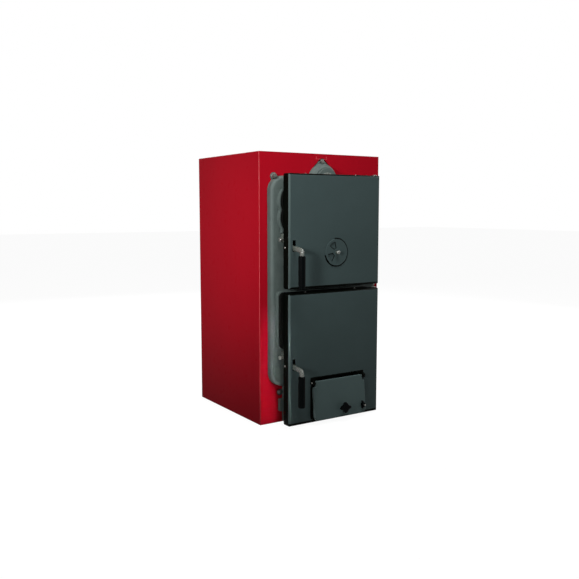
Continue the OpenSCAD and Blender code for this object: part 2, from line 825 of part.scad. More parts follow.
module front_panel() color("firebrick") difference() {
    upright(-sheet_t, 0) rect(-half_w, jacket_floor_gap, half_w, body_h - sheet_t);
    upright(-sheet_t - cut, cut) {
        front_outline(seat_gap);
        pad_outline(seat_gap);
        hub_outline(seat_gap);
        corner_lug_outline(seat_gap);
        for (side = [-1, 1]) translate([side * foot_rod_x, foot_rod_z]) circle(lug_r - seat_gap);
    }
}

// Heights of the rear panel's screws
screw_zs = [panel_screw_in, body_h / 2, body_h - panel_screw_in];
module panel_screw_bores() {
    for (side = [-1, 1], z = screw_zs)
        round_y(side * (half_w - fold_w / 2), z, screw_r + running, body_d / 2 - 2 * sheet_t - cut,
            body_d / 2 + cut);
}

module rear_panel() color("firebrick") difference() {
    between_y(body_d / 2 - sheet_t, body_d / 2) rect(-half_w, jacket_floor_gap, half_w, body_h - sheet_t);
    round_y(0, flue_z, flue_r + stop_ring_w + hole_gap, body_d / 2 - 2 * sheet_t, body_d / 2 + sheet_t);
    round_y(0, hub_z, flow_r + hole_gap, body_d / 2 - 2 * sheet_t, body_d / 2 + sheet_t);
    round_y(low_hub_x, low_hub_z, return_r + hole_gap, body_d / 2 - 2 * sheet_t, body_d / 2 + sheet_t);
    panel_screw_bores();
}

module top_panel() color("firebrick") {
    z1 = body_h - sheet_t;
    translate([-half_w, -body_d / 2, z1]) cube([2 * half_w, body_d, sheet_t]);
    for (side = [-1, 1])
        translate([side * (panel_in - sheet_t / 2) - sheet_t / 2, -body_d / 2 + 2 * fold_w, z1 - fold_w])
            cube([sheet_t, body_d - 4 * fold_w, fold_w]);
}

module panel_screws() color("silver")
    for (side = [-1, 1], z = screw_zs) {
        round_y(side * (half_w - fold_w / 2), z, screw_r, body_d / 2 - 2 * sheet_t - screw_r,
            body_d / 2 + cut / 2);
        round_y(side * (half_w - fold_w / 2), z, 2 * screw_r, body_d / 2, body_d / 2 + screw_r);
    }

// Connections at the back

module flue_hood() color("slategray") difference() {
    union() {
        between_y(rear_back_y, rear_back_y + hood_t)
            rounded(-hood_half_w, flue_z - hood_half_h, hood_half_w, flue_z + hood_half_h, hood_corner_r);
        round_y(0, flue_z, flue_r, rear_back_y, flue_y1);
        round_y(0, flue_z, flue_r + stop_ring_w, rear_back_y, damper_y + stop_ring_l);
    }
    round_y(0, flue_z, flue_r - flue_wall, rear_back_y - cut, flue_y1 + cut);
    for (z0 = [flue_z - flue_r - stop_ring_w - cut, flue_z + flue_r - 2 * flue_wall])
        translate([0, damper_y, z0]) cylinder(h = 2 * flue_wall + stop_ring_w + cut, r = shaft_r + running);
    for (sx = [-1, 1], sz = [-1, 1])
        round_y(sx * hood_bolt_x, flue_z + sz * hood_bolt_z, bolt_r + running, rear_back_y - cut,
            rear_back_y + hood_t + cut);
}

module pipe_flange(x, z, r, flange_r, bolt_ring_r, bolts) difference() {
    union() {
        round_y(x, z, flange_r, rear_back_y, rear_back_y + flange_t);
        round_y(x, z, r, rear_back_y, stub_y1);
    }
    round_y(x, z, r - stub_wall, rear_back_y - cut, stub_y1 + cut);
    for (n = [0:bolts - 1])
        round_y(x + bolt_ring_r * cos(45 + n * 360 / bolts), z + bolt_ring_r * sin(45 + n * 360 / bolts),
            bolt_r + running, rear_back_y - cut, rear_back_y + flange_t + cut);
}

module flow_flange() color("slategray") pipe_flange(0, hub_z, flow_r, flow_flange_r, flow_bolt_ring_r, 4);
module return_flange() color("slategray") pipe_flange(low_hub_x, low_hub_z, return_r, return_flange_r,
    return_bolt_ring_r, 4);

module flange_bolt(x, z, t) {
    round_y(x, z, bolt_r, rear_back_y, rear_back_y + t + cut);
    hex_y(x, z, bolt_flats, rear_back_y + t, rear_back_y + t + bolt_head_h);
}

module flange_bolts() color("silver") {
    for (sx = [-1, 1], sz = [-1, 1]) flange_bolt(sx * hood_bolt_x, flue_z + sz * hood_bolt_z, hood_t);
    for (a = [45:90:315]) {
        flange_bolt(flow_bolt_ring_r * cos(a), hub_z + flow_bolt_ring_r * sin(a), flange_t);
        flange_bolt(low_hub_x + return_bolt_ring_r * cos(a), low_hub_z + return_bolt_ring_r * sin(a),
            flange_t);
    }
}

module damper_disc() color("dimgray") {
    difference() {
        union() {
            translate([0, damper_y, flue_z]) rotate([0, 90, 0]) cylinder(h = damper_t, r = damper_r,
                center = true);
            translate([0, damper_y, flue_z - damper_r * damper_hub_share])
                cylinder(h = 2 * damper_r * damper_hub_share, r = shaft_r + shaft_hub_over);
        }
        translate([0, damper_y, flue_z - flue_r]) cylinder(h = 2 * flue_r, r = shaft_r + running);
    }
}

module damper_shaft() color("silver")
    translate([0, damper_y, flue_z - flue_r - stop_ring_w - shaft_end])
        cylinder(h = 2 * flue_r + stop_ring_w + shaft_end + shaft_up, r = shaft_r);

module damper_lever() color("dimgray") {
    z = flue_z + flue_r + shaft_up - damper_arm_t - shaft_hub_over;
    difference() {
        union() {
            translate([0, damper_y, z]) cylinder(h = damper_arm_t, r = 2 * shaft_r);
            translate([-shaft_r, damper_y, z]) cube([2 * shaft_r, damper_arm_l, damper_arm_t]);
            translate([0, damper_y + damper_arm_l, z]) cylinder(h = damper_arm_t, r = 2 * shaft_r);
        }
        translate([0, damper_y, z - cut]) cylinder(h = damper_arm_t + 2 * cut, r = shaft_r + running);
    }
}

// Catches on the front section

module catch_bracket(pivot_z) {
    z = pivot_z + catch_rise;
    half = lever_w / 2 + catch_ear_gap + catch_ear_t;
    ear_proud = catch_pin_proud + catch_ear_over;
    difference() {
        union() {
            translate([lever_x - half, front_y(cast_proud + catch_ear_t), z + catch_ear_over])
                cube([2 * half, catch_ear_t, catch_ear_rise - catch_ear_over]);
            for (side = [-1, 1])
                translate([lever_x + side * (half - catch_ear_t / 2) - catch_ear_t / 2,
                    front_y(ear_proud), z - catch_ear_over])
                    cube([catch_ear_t, ear_proud - cast_proud, catch_ear_rise + catch_ear_over]);
        }
        round_x(front_y(catch_pin_proud), z, catch_pin_r + running, lever_x - half - cut,
            lever_x + half + cut);
    }
}

module catch_pin(pivot_z) {
    z = pivot_z + catch_rise;
    half = lever_w / 2 + catch_ear_gap + catch_ear_t;
    x0 = lever_x - half - catch_reach;
    round_x(front_y(catch_pin_proud), z, catch_pin_r, x0, lever_x + half + pin_end);
    round_x(front_y(catch_pin_proud), z, catch_pin_r + catch_head_over, x0, x0 + catch_pin_r);
}

module upper_catch_bracket() color("slategray") catch_bracket(upper_pivot_z);
module upper_catch_pin() color("silver") catch_pin(upper_pivot_z);
module lower_catch_bracket() color("slategray") catch_bracket(lower_pivot_z);
module lower_catch_pin() color("silver") catch_pin(lower_pivot_z);

// Doors

// Solid with rounded front edges that fills a door's cover
module cover_solid(z0, z1) {
    r = door_edge_r;
    yf = front_y(cover_proud);
    yb = front_y(door_standoff);
    intersection() {
        translate([0, 0, z0]) linear_extrude(z1 - z0) {
            rect(-half_door, yf + r, half_door, yb);
            rect(-half_door + r, yf, half_door - r, yb);
            for (side = [-1, 1]) translate([side * (half_door - r), yf + r]) circle(r);
        }
        sideways(-half_door, half_door) {
            rect(door_standoff, z0, cover_proud - r, z1);
            rect(door_standoff, z0 + r, cover_proud, z1 - r);
            for (z = [z0 + r, z1 - r]) translate([cover_proud - r, z]) circle(r);
        }
    }
}

// Space kept free in a door round its hinge lugs
module hinge_bays(zs) {
    for (z = zs)
        translate([hinge_x - eye_r - bay_gap, front_y(hinge_proud + bay_r), z - bay_gap])
            cube([half_door, hinge_proud + bay_r - door_standoff + cut, 2 * eye_h + 2 * bay_gap]);
}

// Sheet shell of a door with its lever's slot and pin hole
module cover_shell(z0, z1, pivot_z, zs) {
    difference() {
        cover_solid(z0, z1);
        translate([-half_door + cover_wall, front_y(cover_proud - cover_front), z0 + cover_wall])
            cube([2 * (half_door - cover_wall), door_t, z1 - z0 - 2 * cover_wall]);
        upright(cover_proud - cover_front - cut, cover_proud + cut)
            rect(lever_x - slot_w / 2, pivot_z - slot_drop, lever_x + slot_w / 2, pivot_z + slot_rise);
        round_x(front_y(pivot_proud), pivot_z, pivot_r + running, -half_door - cut,
            -half_door + cover_wall + cut);
        hinge_bays(zs);
        translate([hinge_x, front_y(hinge_proud), z0 - cut]) cylinder(h = z1 - z0 + 2 * cut,
            r = hinge_rod_r + running);
        cover_screw_bores(z0, z1);
    }
}

// Screws that hold a cover on the door's casting, through its upper and lower walls
screw_xs = [-half_door * cover_screw_share, half_door * cover_screw_share];
module cover_screw_bores(z0, z1) {
    for (x = screw_xs, z = [z0 - cut, z1 - screw_l])
        translate([x, front_y(door_standoff + base_t / 2), z]) cylinder(h = screw_l + cut,
            r = cover_screw_r + running);
}

module cover_screws(z0, z1) {
    for (x = screw_xs, end = [[z0, -1], [z1, 1]])
        translate([x, front_y(door_standoff + base_t / 2), end[0]]) rotate([end[1] > 0 ? 0 : 180, 0, 0]) {
            translate([0, 0, cut / 2 - screw_l]) cylinder(h = screw_l, r = cover_screw_r);
            cylinder(h = cover_screw_r, r = base_t / 2 - fit);
        }
}

// Base plate of a door's casting, inside the cover
module base_outline(z0, z1) {
    inset = cover_wall + seat_gap;
    rect(-half_door + inset, z0 + inset, half_door - inset, z1 - inset);
}

// A door's casting with the lever's bosses and the hinge eyes; the children are its rings and ducts
module door_casting(z0, z1, pivot_z, zs) {
    inset = lever_w / 2 + lever_play;
    difference() {
        union() {
            upright(door_standoff, door_standoff + base_t) base_outline(z0, z1);
            children();
            for (side = [-1, 1])
                translate([lever_x + side * (inset + boss_w / 2) - boss_w / 2,
                    front_y(pivot_proud + boss_over), pivot_z - boss_half_h])
                    cube([boss_w, pivot_proud + boss_over - door_standoff, 2 * boss_half_h]);
        }
        hinge_bays(zs);
        upright(door_standoff - cut, pivot_proud + boss_over + cut)
            rect(lever_x - inset, pivot_z - boss_half_h - cut, lever_x + inset,
                pivot_z + slot_rise + cut);
        round_x(front_y(pivot_proud), pivot_z, pivot_r + running, -half_door, lever_x + 2 * boss_w + cut);
        translate([hinge_x, front_y(hinge_proud), z0 - cut]) cylinder(h = z1 - z0 + 2 * cut,
            r = hinge_rod_r + running);
        cover_screw_bores(z0, z1);
    }
    for (z = zs) difference() {
        union() {
            translate([hinge_x, front_y(hinge_proud), z + eye_h]) cylinder(h = eye_h, r = eye_r);
            translate([hinge_x - 2 * eye_r, front_y(hinge_proud + hinge_rod_r), z + eye_h])
                cube([2 * eye_r, hinge_proud + hinge_rod_r - door_standoff, eye_h]);
        }
        translate([hinge_x, front_y(hinge_proud), z + eye_h - cut]) cylinder(h = eye_h + 2 * cut,
            r = hinge_rod_r + running);
    }
}

// Where the rope lies in the rings, measured in from their edges
rope_in = (seat_ring_w - rope_w) / 2;
ring_proud = rim_proud + ring_gap;
rope_proud = rim_proud + fit;
rope_bed = ring_proud + rope_d;

// Room left in a door's insulation and board for the lever
module lever_bay(pivot_z) {
    upright(door_standoff - cut, cover_proud - cover_front + cut)
        rect(-half_door, pivot_z - bay_drop, lever_x + lever_w / 2 + boss_w + boss_gap,
            pivot_z + bay_rise);
}

module door_insulation(z0, z1, pivot_z) {
    edge = cover_wall + insulation_gap;
    difference() {
        upright(door_standoff + base_t, cover_proud - cover_front)
            rect(-half_door + edge, z0 + edge, hinge_x - 2 * eye_r - insulation_gap, z1 - edge);
        lever_bay(pivot_z);
    }
}

// Shield on four feet inside the ring
module shield(feet) {
    upright(ring_proud, ring_proud + shield_t) children();
    for (p = feet) round_y(p[0], p[1], foot_r, front_y(door_standoff),
        front_y(ring_proud + shield_t / 2));
}

module hinge_rod(z0, z1) {
    translate([hinge_x, front_y(hinge_proud), z0]) cylinder(h = z1 - z0, r = hinge_rod_r);
    translate([hinge_x, front_y(hinge_proud), z1 - rod_over]) cylinder(h = rod_over,
        r = hinge_rod_r + rod_over);
}

module lever_pin(pivot_z)
    round_x(front_y(pivot_proud), pivot_z, pivot_r, -half_door - pin_end,
        lever_x + lever_w / 2 + boss_w + pin_over);

// Outline of the handle's lever, in (proud, Z) measured from its pivot
function arm_points() = [
    [0, 0],
    door_t * [lever_bend_shares[0], -lever_bend_shares[1]],
    for (n = [0:lever_elbow_steps]) let (a = n * 90 / lever_elbow_steps)
        [grip_proud - pivot_proud, -lever_elbow_drop] - lever_elbow_r * [1 - sin(a), 1 - cos(a)],
    [grip_proud - pivot_proud, -grip_top_drop]
];

module lever_outline() {
    p = arm_points();
    finger = [catch_pin_proud - pivot_proud - catch_pin_r, catch_rise * finger_share];
    difference() {
        union() {
            for (n = [1:len(p) - 1]) bar(p[n - 1], p[n], lever_h);
            for (n = [1:len(p) - 2]) translate(p[n]) circle(lever_h / 2 + fit);
            circle(lever_h / 2 + lever_eye_over);
            intersection() {
                bar([0, 0], 1.5 * finger, lever_h - finger_thin);
                circle(pivot_proud - cast_proud - claw_gap);
            }
        }
        circle(pivot_r + running);
        translate([catch_pin_proud - pivot_proud, catch_rise]) circle(catch_pin_r + claw_gap);
        translate([catch_pin_proud - 2 * pivot_proud,
            catch_rise - catch_pin_r - claw_gap]) square([pivot_proud, catch_rise]);
    }
}

module handle_lever(pivot_z) {
    translate([lever_x - lever_w / 2, front_y(pivot_proud), pivot_z])
        rotate([90, 0, 90]) linear_extrude(lever_w) mirror([1, 0]) lever_outline();
    translate([lever_x, front_y(grip_proud),
        pivot_z - grip_top_drop - spindle_l]) cylinder(h = spindle_l, r = spindle_r);
}

module handle_grip(pivot_z) difference() {
    translate([lever_x, front_y(grip_proud), pivot_z - grip_top_drop - grip_l]) cylinder(h = grip_l,
        r = grip_r);
    translate([lever_x, front_y(grip_proud), pivot_z - grip_top_drop - spindle_l - spindle_end])
        cylinder(h = spindle_l + spindle_end + cut, r = spindle_r + fit);
}

// Upper door

// Air ports under the rosette, shut by the disc's webs
module rosette_ports(shift) {
    for (w = ROSETTE_WINDOWS) rotate(shift) sector(rosette_port_r0, rosette_port_r1, w[0], w[1]);
}

module upper_door_cover() color("darkslategray") difference() {
    cover_shell(upper_z0, upper_z1, upper_pivot_z, upper_lug_zs);
    upright(cover_proud - cover_front - cut, cover_proud + cut)
        translate([rosette_x, rosette_z]) rosette_ports(rosette_turn);
    round_y(rosette_x, rosette_z, knob_stem_r + running, front_y(cover_proud + cut),
        front_y(cover_proud - cover_front - cut));
}

module upper_door_casting() color("dimgray") difference() {
    door_casting(upper_z0, upper_z1, upper_pivot_z, upper_lug_zs) {
        upright(ring_proud, door_standoff) difference() {
            load_seat();
            load_seat(-seat_ring_w);
        }
        round_y(rosette_x, rosette_z, rosette_port_r1 + duct_wall, front_y(cover_proud - cover_front),
            front_y(door_standoff));
    }
    upright(ring_proud - cut, rope_bed) difference() {
        load_seat(-rope_in);
        load_seat(-rope_in - rope_w);
    }
    round_y(rosette_x, rosette_z, rosette_port_r1, front_y(cover_proud), front_y(door_standoff - cut));
}

module upper_door_insulation() color("khaki") difference() {
    door_insulation(upper_z0, upper_z1, upper_pivot_z);
    round_y(rosette_x, rosette_z, rosette_port_r1 + duct_wall + insulation_gap, front_y(cover_proud),
        front_y(door_standoff));
}

shield_in = seat_ring_w + shield_inset;
foot_in = shield_in + foot_r + shield_foot_in;
load_feet_x = [latch_bay_x + foot_in, seat_right - foot_in];
load_feet_z = [rosette_z + rosette_port_r1 + foot_r + shield_foot_in, load_seat_z1 - foot_in];

module upper_door_shield() color("dimgray")
    shield([for (x = load_feet_x, z = load_feet_z) [x, z]]) load_seat(-shield_in);

module upper_door_rope() color("gainsboro")
    upright(rope_proud, rope_bed) difference() {
        load_seat(-rope_in - seat_gap);
        load_seat(-rope_in - rope_w + seat_gap);
    }

module upper_cover_screws() color("silver") cover_screws(upper_z0, upper_z1);
module upper_hinge_rod() color("silver") hinge_rod(upper_z0 - door_gap / 3, upper_z1 + rod_over);
module upper_lever_pin() color("silver") lever_pin(upper_pivot_z);
module upper_handle_lever() color("silver") handle_lever(upper_pivot_z);
module upper_handle_grip() color("black") handle_grip(upper_pivot_z);

module rosette_disc() color("darkslategray") difference() {
    round_y(rosette_x, rosette_z, rosette_r, front_y(cover_proud + rosette_t), front_y(cover_proud));
    upright(cover_proud - cut, cover_proud + rosette_t + cut) translate([rosette_x,
        rosette_z]) rosette_ports(0);
    round_y(rosette_x, rosette_z, knob_stem_r + running, front_y(cover_proud + rosette_t + cut),
        front_y(cover_proud - cut));
}

module rosette_knob() color("silver") {
    y = front_y(cover_proud + rosette_t);
    translate([rosette_x, y, rosette_z]) rotate([90, 0, 0]) rotate_extrude()
        polygon([for (p = knob_shares) [p[0] * knob_r, p[1] * knob_proud]]);
    round_y(rosette_x, rosette_z, knob_stem_r, y - cut, front_y(door_standoff + base_t));
    round_y(rosette_x, rosette_z, knob_r + knob_collar_over, front_y(cover_proud - cover_front),
        front_y(cover_proud - cover_front) + knob_r);
}

// Lower door

module inlet(grow = 0) rect(inlet_x0 - grow, inlet_z0 - grow, inlet_x1 + grow, inlet_z1 + grow);

module flap_ears() {
    for (side = [-1, 1])
        difference() {
            union() {
                round_x(front_y(flap_hinge_proud), flap_hinge_z, ear_r, ear_x(side) - ear_w / 2,
                    ear_x(side) + ear_w / 2);
                translate([ear_x(side) - ear_w / 2, front_y(flap_hinge_proud), flap_hinge_z - ear_r])
                    cube([ear_w, flap_hinge_proud - cover_proud, 2 * ear_r]);
            }
            round_x(front_y(flap_hinge_proud), flap_hinge_z, flap_pin_r + running,
                ear_x(side) - ear_w, ear_x(side) + ear_w);
        }
}

module lower_door_cover() color("darkslategray") {
    difference() {
        cover_shell(lower_z0, lower_z1, lower_pivot_z, lower_lug_zs);
        upright(cover_proud - cover_front - cut, cover_proud + cut) inlet();
    }
    flap_ears();
}

module lower_door_casting() color("dimgray") difference() {
    door_casting(lower_z0, lower_z1, lower_pivot_z, lower_lug_zs) {
        upright(ring_proud, door_standoff) {
            difference() {
                fire_seat();
                fire_seat(-seat_ring_w);
            }
            difference() {
                ash_seat();
                ash_seat(-seat_ring_w);
            }
        }
        upright(door_standoff, cover_proud - cover_front) inlet(duct_wall);
    }
    upright(ring_proud - cut, rope_bed) {
        difference() {
            fire_seat(-rope_in);
            fire_seat(-rope_in - rope_w);
        }
        difference() {
            ash_seat(-rope_in);
            ash_seat(-rope_in - rope_w);
        }
    }
    upright(door_standoff + base_t, cover_proud) inlet();
    upright(door_standoff - cut, cover_proud)
        rect(inlet_x0, mouth_z0 + duct_wall, inlet_x1, ash_seat_z1 - seat_ring_w - duct_wall);
}

module lower_door_insulation() color("khaki") difference() {
    door_insulation(lower_z0, lower_z1, lower_pivot_z);
    upright(door_standoff, cover_proud) inlet(duct_wall + insulation_gap);
}

fire_feet_x = [low_seat_left + foot_in, seat_right - foot_in];
fire_feet_z = [fire_seat_z0 + foot_in, fire_seat_z1 - foot_in];

module lower_door_shield() color("dimgray")
    shield([for (x = fire_feet_x, z = fire_feet_z) [x, z]]) fire_seat(-shield_in);

module lower_door_rope() color("gainsboro")
    upright(rope_proud, rope_bed) {
        difference() {
            fire_seat(-rope_in - seat_gap);
            fire_seat(-rope_in - rope_w + seat_gap);
        }
        difference() {
            ash_seat(-rope_in - seat_gap);
            ash_seat(-rope_in - rope_w + seat_gap);
        }
    }

module lower_cover_screws() color("silver") cover_screws(lower_z0, lower_z1);
module lower_hinge_rod() color("silver") hinge_rod(lower_z0 + rod_over, lower_z1 + rod_over);
module lower_lever_pin() color("silver") lever_pin(lower_pivot_z);
module lower_handle_lever() color("silver") handle_lever(lower_pivot_z);
module lower_handle_grip() color("black") handle_grip(lower_pivot_z);

// Air flap: shapes are drawn upright and then tilted about the flap's pins
function ear_x(side) = flap_x + side * (flap_w / 2 - notch_w / 2 + ear_out);

module tilted() {
    translate([0, front_y(flap_hinge_proud), flap_hinge_z]) rotate([-flap_tilt, 0, 0])
        translate([0, -front_y(flap_hinge_proud), -flap_hinge_z]) children();
}

flap_front = flap_hinge_proud + flap_t / 2;
flap_back = flap_hinge_proud - flap_t / 2;
// How far the set screw reaches behind the flap to stand off the door
set_tip = (flap_hinge_proud - cover_proud - fit + (flap_hinge_z - set_z - set_r) * sin(flap_tilt))
    / cos(flap_tilt) - flap_t / 2;

module air_flap() color("darkslategray") tilted() difference() {
    upright(flap_back, flap_front) difference() {
        rounded(flap_x - flap_w / 2, flap_z1 - flap_h, flap_x + flap_w / 2, flap_z1, flap_corner_r);
        for (side = [-1, 1])
            rect(side * flap_w / 2 + flap_x - (side > 0 ? notch_w : cut), flap_z1 - notch_h,
                side * flap_w / 2 + flap_x + (side > 0 ? cut : notch_w), flap_z1 + cut);
    }
    round_x(front_y(flap_hinge_proud), flap_hinge_z, flap_pin_r + running, flap_x - flap_w / 2,
        flap_x - flap_w / 2 + pin_l);
    round_x(front_y(flap_hinge_proud), flap_hinge_z, flap_pin_r + running, flap_x + flap_w / 2 - pin_l,
        flap_x + flap_w / 2);
    round_y(set_x, set_z, set_r + running, front_y(flap_front + cut), front_y(flap_back - cut));
    round_y(knob_x, knob_z, flap_stem_r * stud_share + running, front_y(flap_front + cut),
        front_y(flap_back - cut));
}

module flap_pins() color("silver") {
    for (side = [-1, 1]) {
        x0 = side < 0 ? ear_x(side) - ear_w / 2 - pin_over : flap_x + flap_w / 2 - pin_l + pin_end;
        x1 = side < 0 ? flap_x - flap_w / 2 + pin_l - pin_end : ear_x(side) + ear_w / 2 + pin_over;
        round_x(front_y(flap_hinge_proud), flap_hinge_z, flap_pin_r, x0, x1);
    }
}

module flap_knob() color("black") tilted() {
    upright(flap_front + flap_stem_l, flap_front + flap_stem_l + flap_knob_t) translate([knob_x,
        knob_z]) {
        polygon([[-knob_half_w, 0], [0, knob_half_h], [knob_half_w, 0], [0, -knob_half_h]]);
        for (side = [-1, 1]) {
            translate([0, side * (knob_half_h - knob_lobe_r)]) circle(knob_lobe_r);
            translate([side * (knob_half_w - knob_tip_r), 0]) circle(knob_tip_r);
        }
    }
    round_y(knob_x, knob_z, flap_stem_r, front_y(flap_front + flap_stem_l + cut), front_y(flap_front));
    round_y(knob_x, knob_z, flap_stem_r * stud_share, front_y(flap_front + cut), front_y(flap_back));
}

module flap_set_screw() color("silver") tilted()
    round_y(set_x, set_z, set_r, front_y(flap_back - set_tip + set_l), front_y(flap_back - set_tip));

module flap_wing_nut() color("black") tilted() difference() {
    union() {
        round_y(set_x, set_z, set_r + wing_wall, front_y(flap_front + wing_h), front_y(flap_front));
        sideways(set_x - wing_t / 2, set_x + wing_t / 2) polygon([
            [flap_front, set_z - wing_reach], [flap_front + wing_foot, set_z - wing_reach],
            [flap_front + wing_h, set_z - set_r - wing_wall],
            [flap_front + wing_h, set_z + set_r + wing_wall],
            [flap_front + wing_foot, set_z + wing_reach], [flap_front, set_z + wing_reach]
        ]);
    }
    round_y(set_x, set_z, set_r + running, front_y(flap_front + wing_h + cut), front_y(flap_front - cut));
}

// Assembly
floor_tray();
front_section();
middle_section(1);  // middle_section_1
middle_section(2);  // middle_section_2
middle_section(3);  // middle_section_3
rear_section();
upper_nipples();
lower_nipples();
tie_rods();
tie_rod_nuts();
hub_cap();
fire_grate();
ash_pan();
insulation_wrap();
left_side_panel();
right_side_panel();
front_panel();
rear_panel();
top_panel();
panel_screws();
flue_hood();
flow_flange();
return_flange();
flange_bolts();
upper_catch_bracket();
upper_catch_pin();
lower_catch_bracket();
lower_catch_pin();
upper_door_cover();
upper_door_casting();
upper_door_insulation();
upper_door_shield();
upper_door_rope();
upper_cover_screws();
upper_hinge_rod();
upper_lever_pin();
rosette_disc();
rosette_knob();
upper_handle_lever();
upper_handle_grip();
lower_door_cover();
lower_door_casting();
lower_door_insulation();
lower_door_shield();
lower_door_rope();
lower_cover_screws();
lower_hinge_rod();
lower_lever_pin();
flap_pins();
lower_handle_lever();
lower_handle_grip();
air_flap();
flap_knob();
flap_set_screw();
flap_wing_nut();
damper_disc();
damper_shaft();
damper_lever();
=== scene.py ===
# Cast-iron solid fuel boiler in a red sheet jacket, in metres: X to the right seen from the front,
# Y to the back and Z up, with the floor at zero. Values called proud are millimetres in front of
# the jacket.
import json
import math

import bmesh
import bpy
from mathutils import Matrix, Vector, noise


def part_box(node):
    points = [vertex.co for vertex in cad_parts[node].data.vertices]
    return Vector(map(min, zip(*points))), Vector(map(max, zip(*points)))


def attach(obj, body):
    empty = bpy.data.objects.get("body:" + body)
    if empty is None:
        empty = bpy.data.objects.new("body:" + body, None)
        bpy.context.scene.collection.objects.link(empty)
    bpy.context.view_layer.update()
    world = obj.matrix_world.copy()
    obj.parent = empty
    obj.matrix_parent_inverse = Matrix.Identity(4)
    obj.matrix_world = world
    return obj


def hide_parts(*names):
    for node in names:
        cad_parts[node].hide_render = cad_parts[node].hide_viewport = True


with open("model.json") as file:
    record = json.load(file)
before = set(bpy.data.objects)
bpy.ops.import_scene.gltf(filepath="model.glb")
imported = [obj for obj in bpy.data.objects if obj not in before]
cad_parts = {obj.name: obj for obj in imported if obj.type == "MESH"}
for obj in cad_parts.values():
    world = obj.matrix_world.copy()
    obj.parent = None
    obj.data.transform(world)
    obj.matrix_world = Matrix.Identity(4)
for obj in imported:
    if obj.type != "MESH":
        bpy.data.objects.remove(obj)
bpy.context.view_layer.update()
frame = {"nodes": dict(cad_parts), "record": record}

MM = 0.001
HALF_DEPTH = 0.2275             # of the jacket
NODES = frame["nodes"]
BEHAVIOUR = frame["record"]["behaviour"]
BODY_OF = {n: body for body, names in BEHAVIOUR["bodies"].items() for n in names}
PIVOT_OF = {joint["name"]: joint["pos_m"] for joint in BEHAVIOUR["joints"]}
SLOT_OF = {part["node"]: part["material_slot"] for part in frame["record"]["subparts"]}


# Materials

USUAL_NOISE = (0.3, 0.7)        # most of a noise pattern lies between these


class Finish:
    """A Principled material whose patterns all start from the piece's own Object coordinates."""

    def __init__(self, name, colour, roughness, **sockets):
        self.colour = colour
        self.material = bpy.data.materials.new(name)
        self.material.use_nodes = True
        self.nodes = self.material.node_tree.nodes
        self.link = self.material.node_tree.links.new
        self.shader = self.nodes["Principled BSDF"]
        self.place = self.nodes.new("ShaderNodeTexCoord")
        self.shader.inputs["Base Color"].default_value = (*colour, 1)
        self.shader.inputs["Roughness"].default_value = roughness
        for socket, value in sockets.items():
            self.shader.inputs[socket.replace("_", " ")].default_value = value
        self.material.diffuse_color = (*colour, 1)

    def grain(self, scale, detail=4, roughness=0.55, stretch=(1, 1, 1)):
        """Noise of so many swells to the metre, drawn out along an axis where stretch is small."""
        mapping = self.nodes.new("ShaderNodeMapping")
        mapping.inputs["Scale"].default_value = stretch
        swells = self.nodes.new("ShaderNodeTexNoise")
        swells.inputs["Scale"].default_value = scale
        swells.inputs["Detail"].default_value = detail
        swells.inputs["Roughness"].default_value = roughness
        self.link(self.place.outputs["Object"], mapping.inputs["Vector"])
        self.link(mapping.outputs["Vector"], swells.inputs["Vector"])
        return swells.outputs["Fac"]

    def pits(self, scale, randomness):
        """Distance to the nearest of so many scattered points to the metre."""
        cells = self.nodes.new("ShaderNodeTexVoronoi")
        cells.inputs["Scale"].default_value = scale
        cells.inputs["Randomness"].default_value = randomness
        self.link(self.place.outputs["Object"], cells.inputs["Vector"])
        return cells.outputs["Distance"]

    def mottle(self, pattern, *stops):
        """Darkens and lightens the base colour along (place, factor) stops."""
        ramp = self.nodes.new("ShaderNodeValToRGB")
        band = ramp.color_ramp
        while len(band.elements) < len(stops):
            band.elements.new(0.5)
        for element, (position, factor) in zip(band.elements, stops):
            element.position = position
            element.color = (*(part * factor for part in self.colour), 1)
        self.link(pattern, ramp.inputs["Fac"])
        self.link(ramp.outputs["Color"], self.shader.inputs["Base Color"])

    def gloss(self, pattern, smooth, rough):
        """Lets the roughness wander between two values."""
        mapped = self.nodes.new("ShaderNodeMapRange")
        mapped.inputs["From Min"].default_value = USUAL_NOISE[0]
        mapped.inputs["From Max"].default_value = USUAL_NOISE[1]
        mapped.inputs["To Min"].default_value = smooth
        mapped.inputs["To Max"].default_value = rough
        self.link(pattern, mapped.inputs["Value"])
        self.link(mapped.outputs["Result"], self.shader.inputs["Roughness"])

    def relief(self, *heights):
        """Stacks (pattern, height in millimetres) bumps, the coarsest first."""
        below = None
        for pattern, height in heights:
            bump = self.nodes.new("ShaderNodeBump")
            bump.inputs["Strength"].default_value = 1
            bump.inputs["Distance"].default_value = height * MM
            self.link(pattern, bump.inputs["Height"])
            if below:
                self.link(below.outputs["Normal"], bump.inputs["Normal"])
            below = bump
        self.link(below.outputs["Normal"], self.shader.inputs["Normal"])


def red_enamel():
    f = Finish("red_enamel", (0.360, 0.0045, 0.0130), roughness=0.30, Specular_IOR_Level=0.006)
    f.mottle(f.grain(scale=5, detail=3), (0.35, 0.98), (0.65, 1.02))
    f.gloss(f.grain(scale=40), 0.26, 0.34)
    f.relief((f.grain(scale=60, detail=2), 0.004))
    return f


def painted_fold_highlight():
    """Lighter enamel laid along a folded edge as a painted highlight."""
    f = Finish("painted_fold_highlight", (0.62, 0.10, 0.11), roughness=0.25, Specular_IOR_Level=0.2)
    f.mottle(f.grain(scale=9, stretch=(1, 1, 0.4)), (0.35, 0.75), (0.65, 1.1))
    f.gloss(f.grain(scale=40), 0.2, 0.32)
    f.relief((f.grain(scale=60, detail=2), 0.004))
    return f


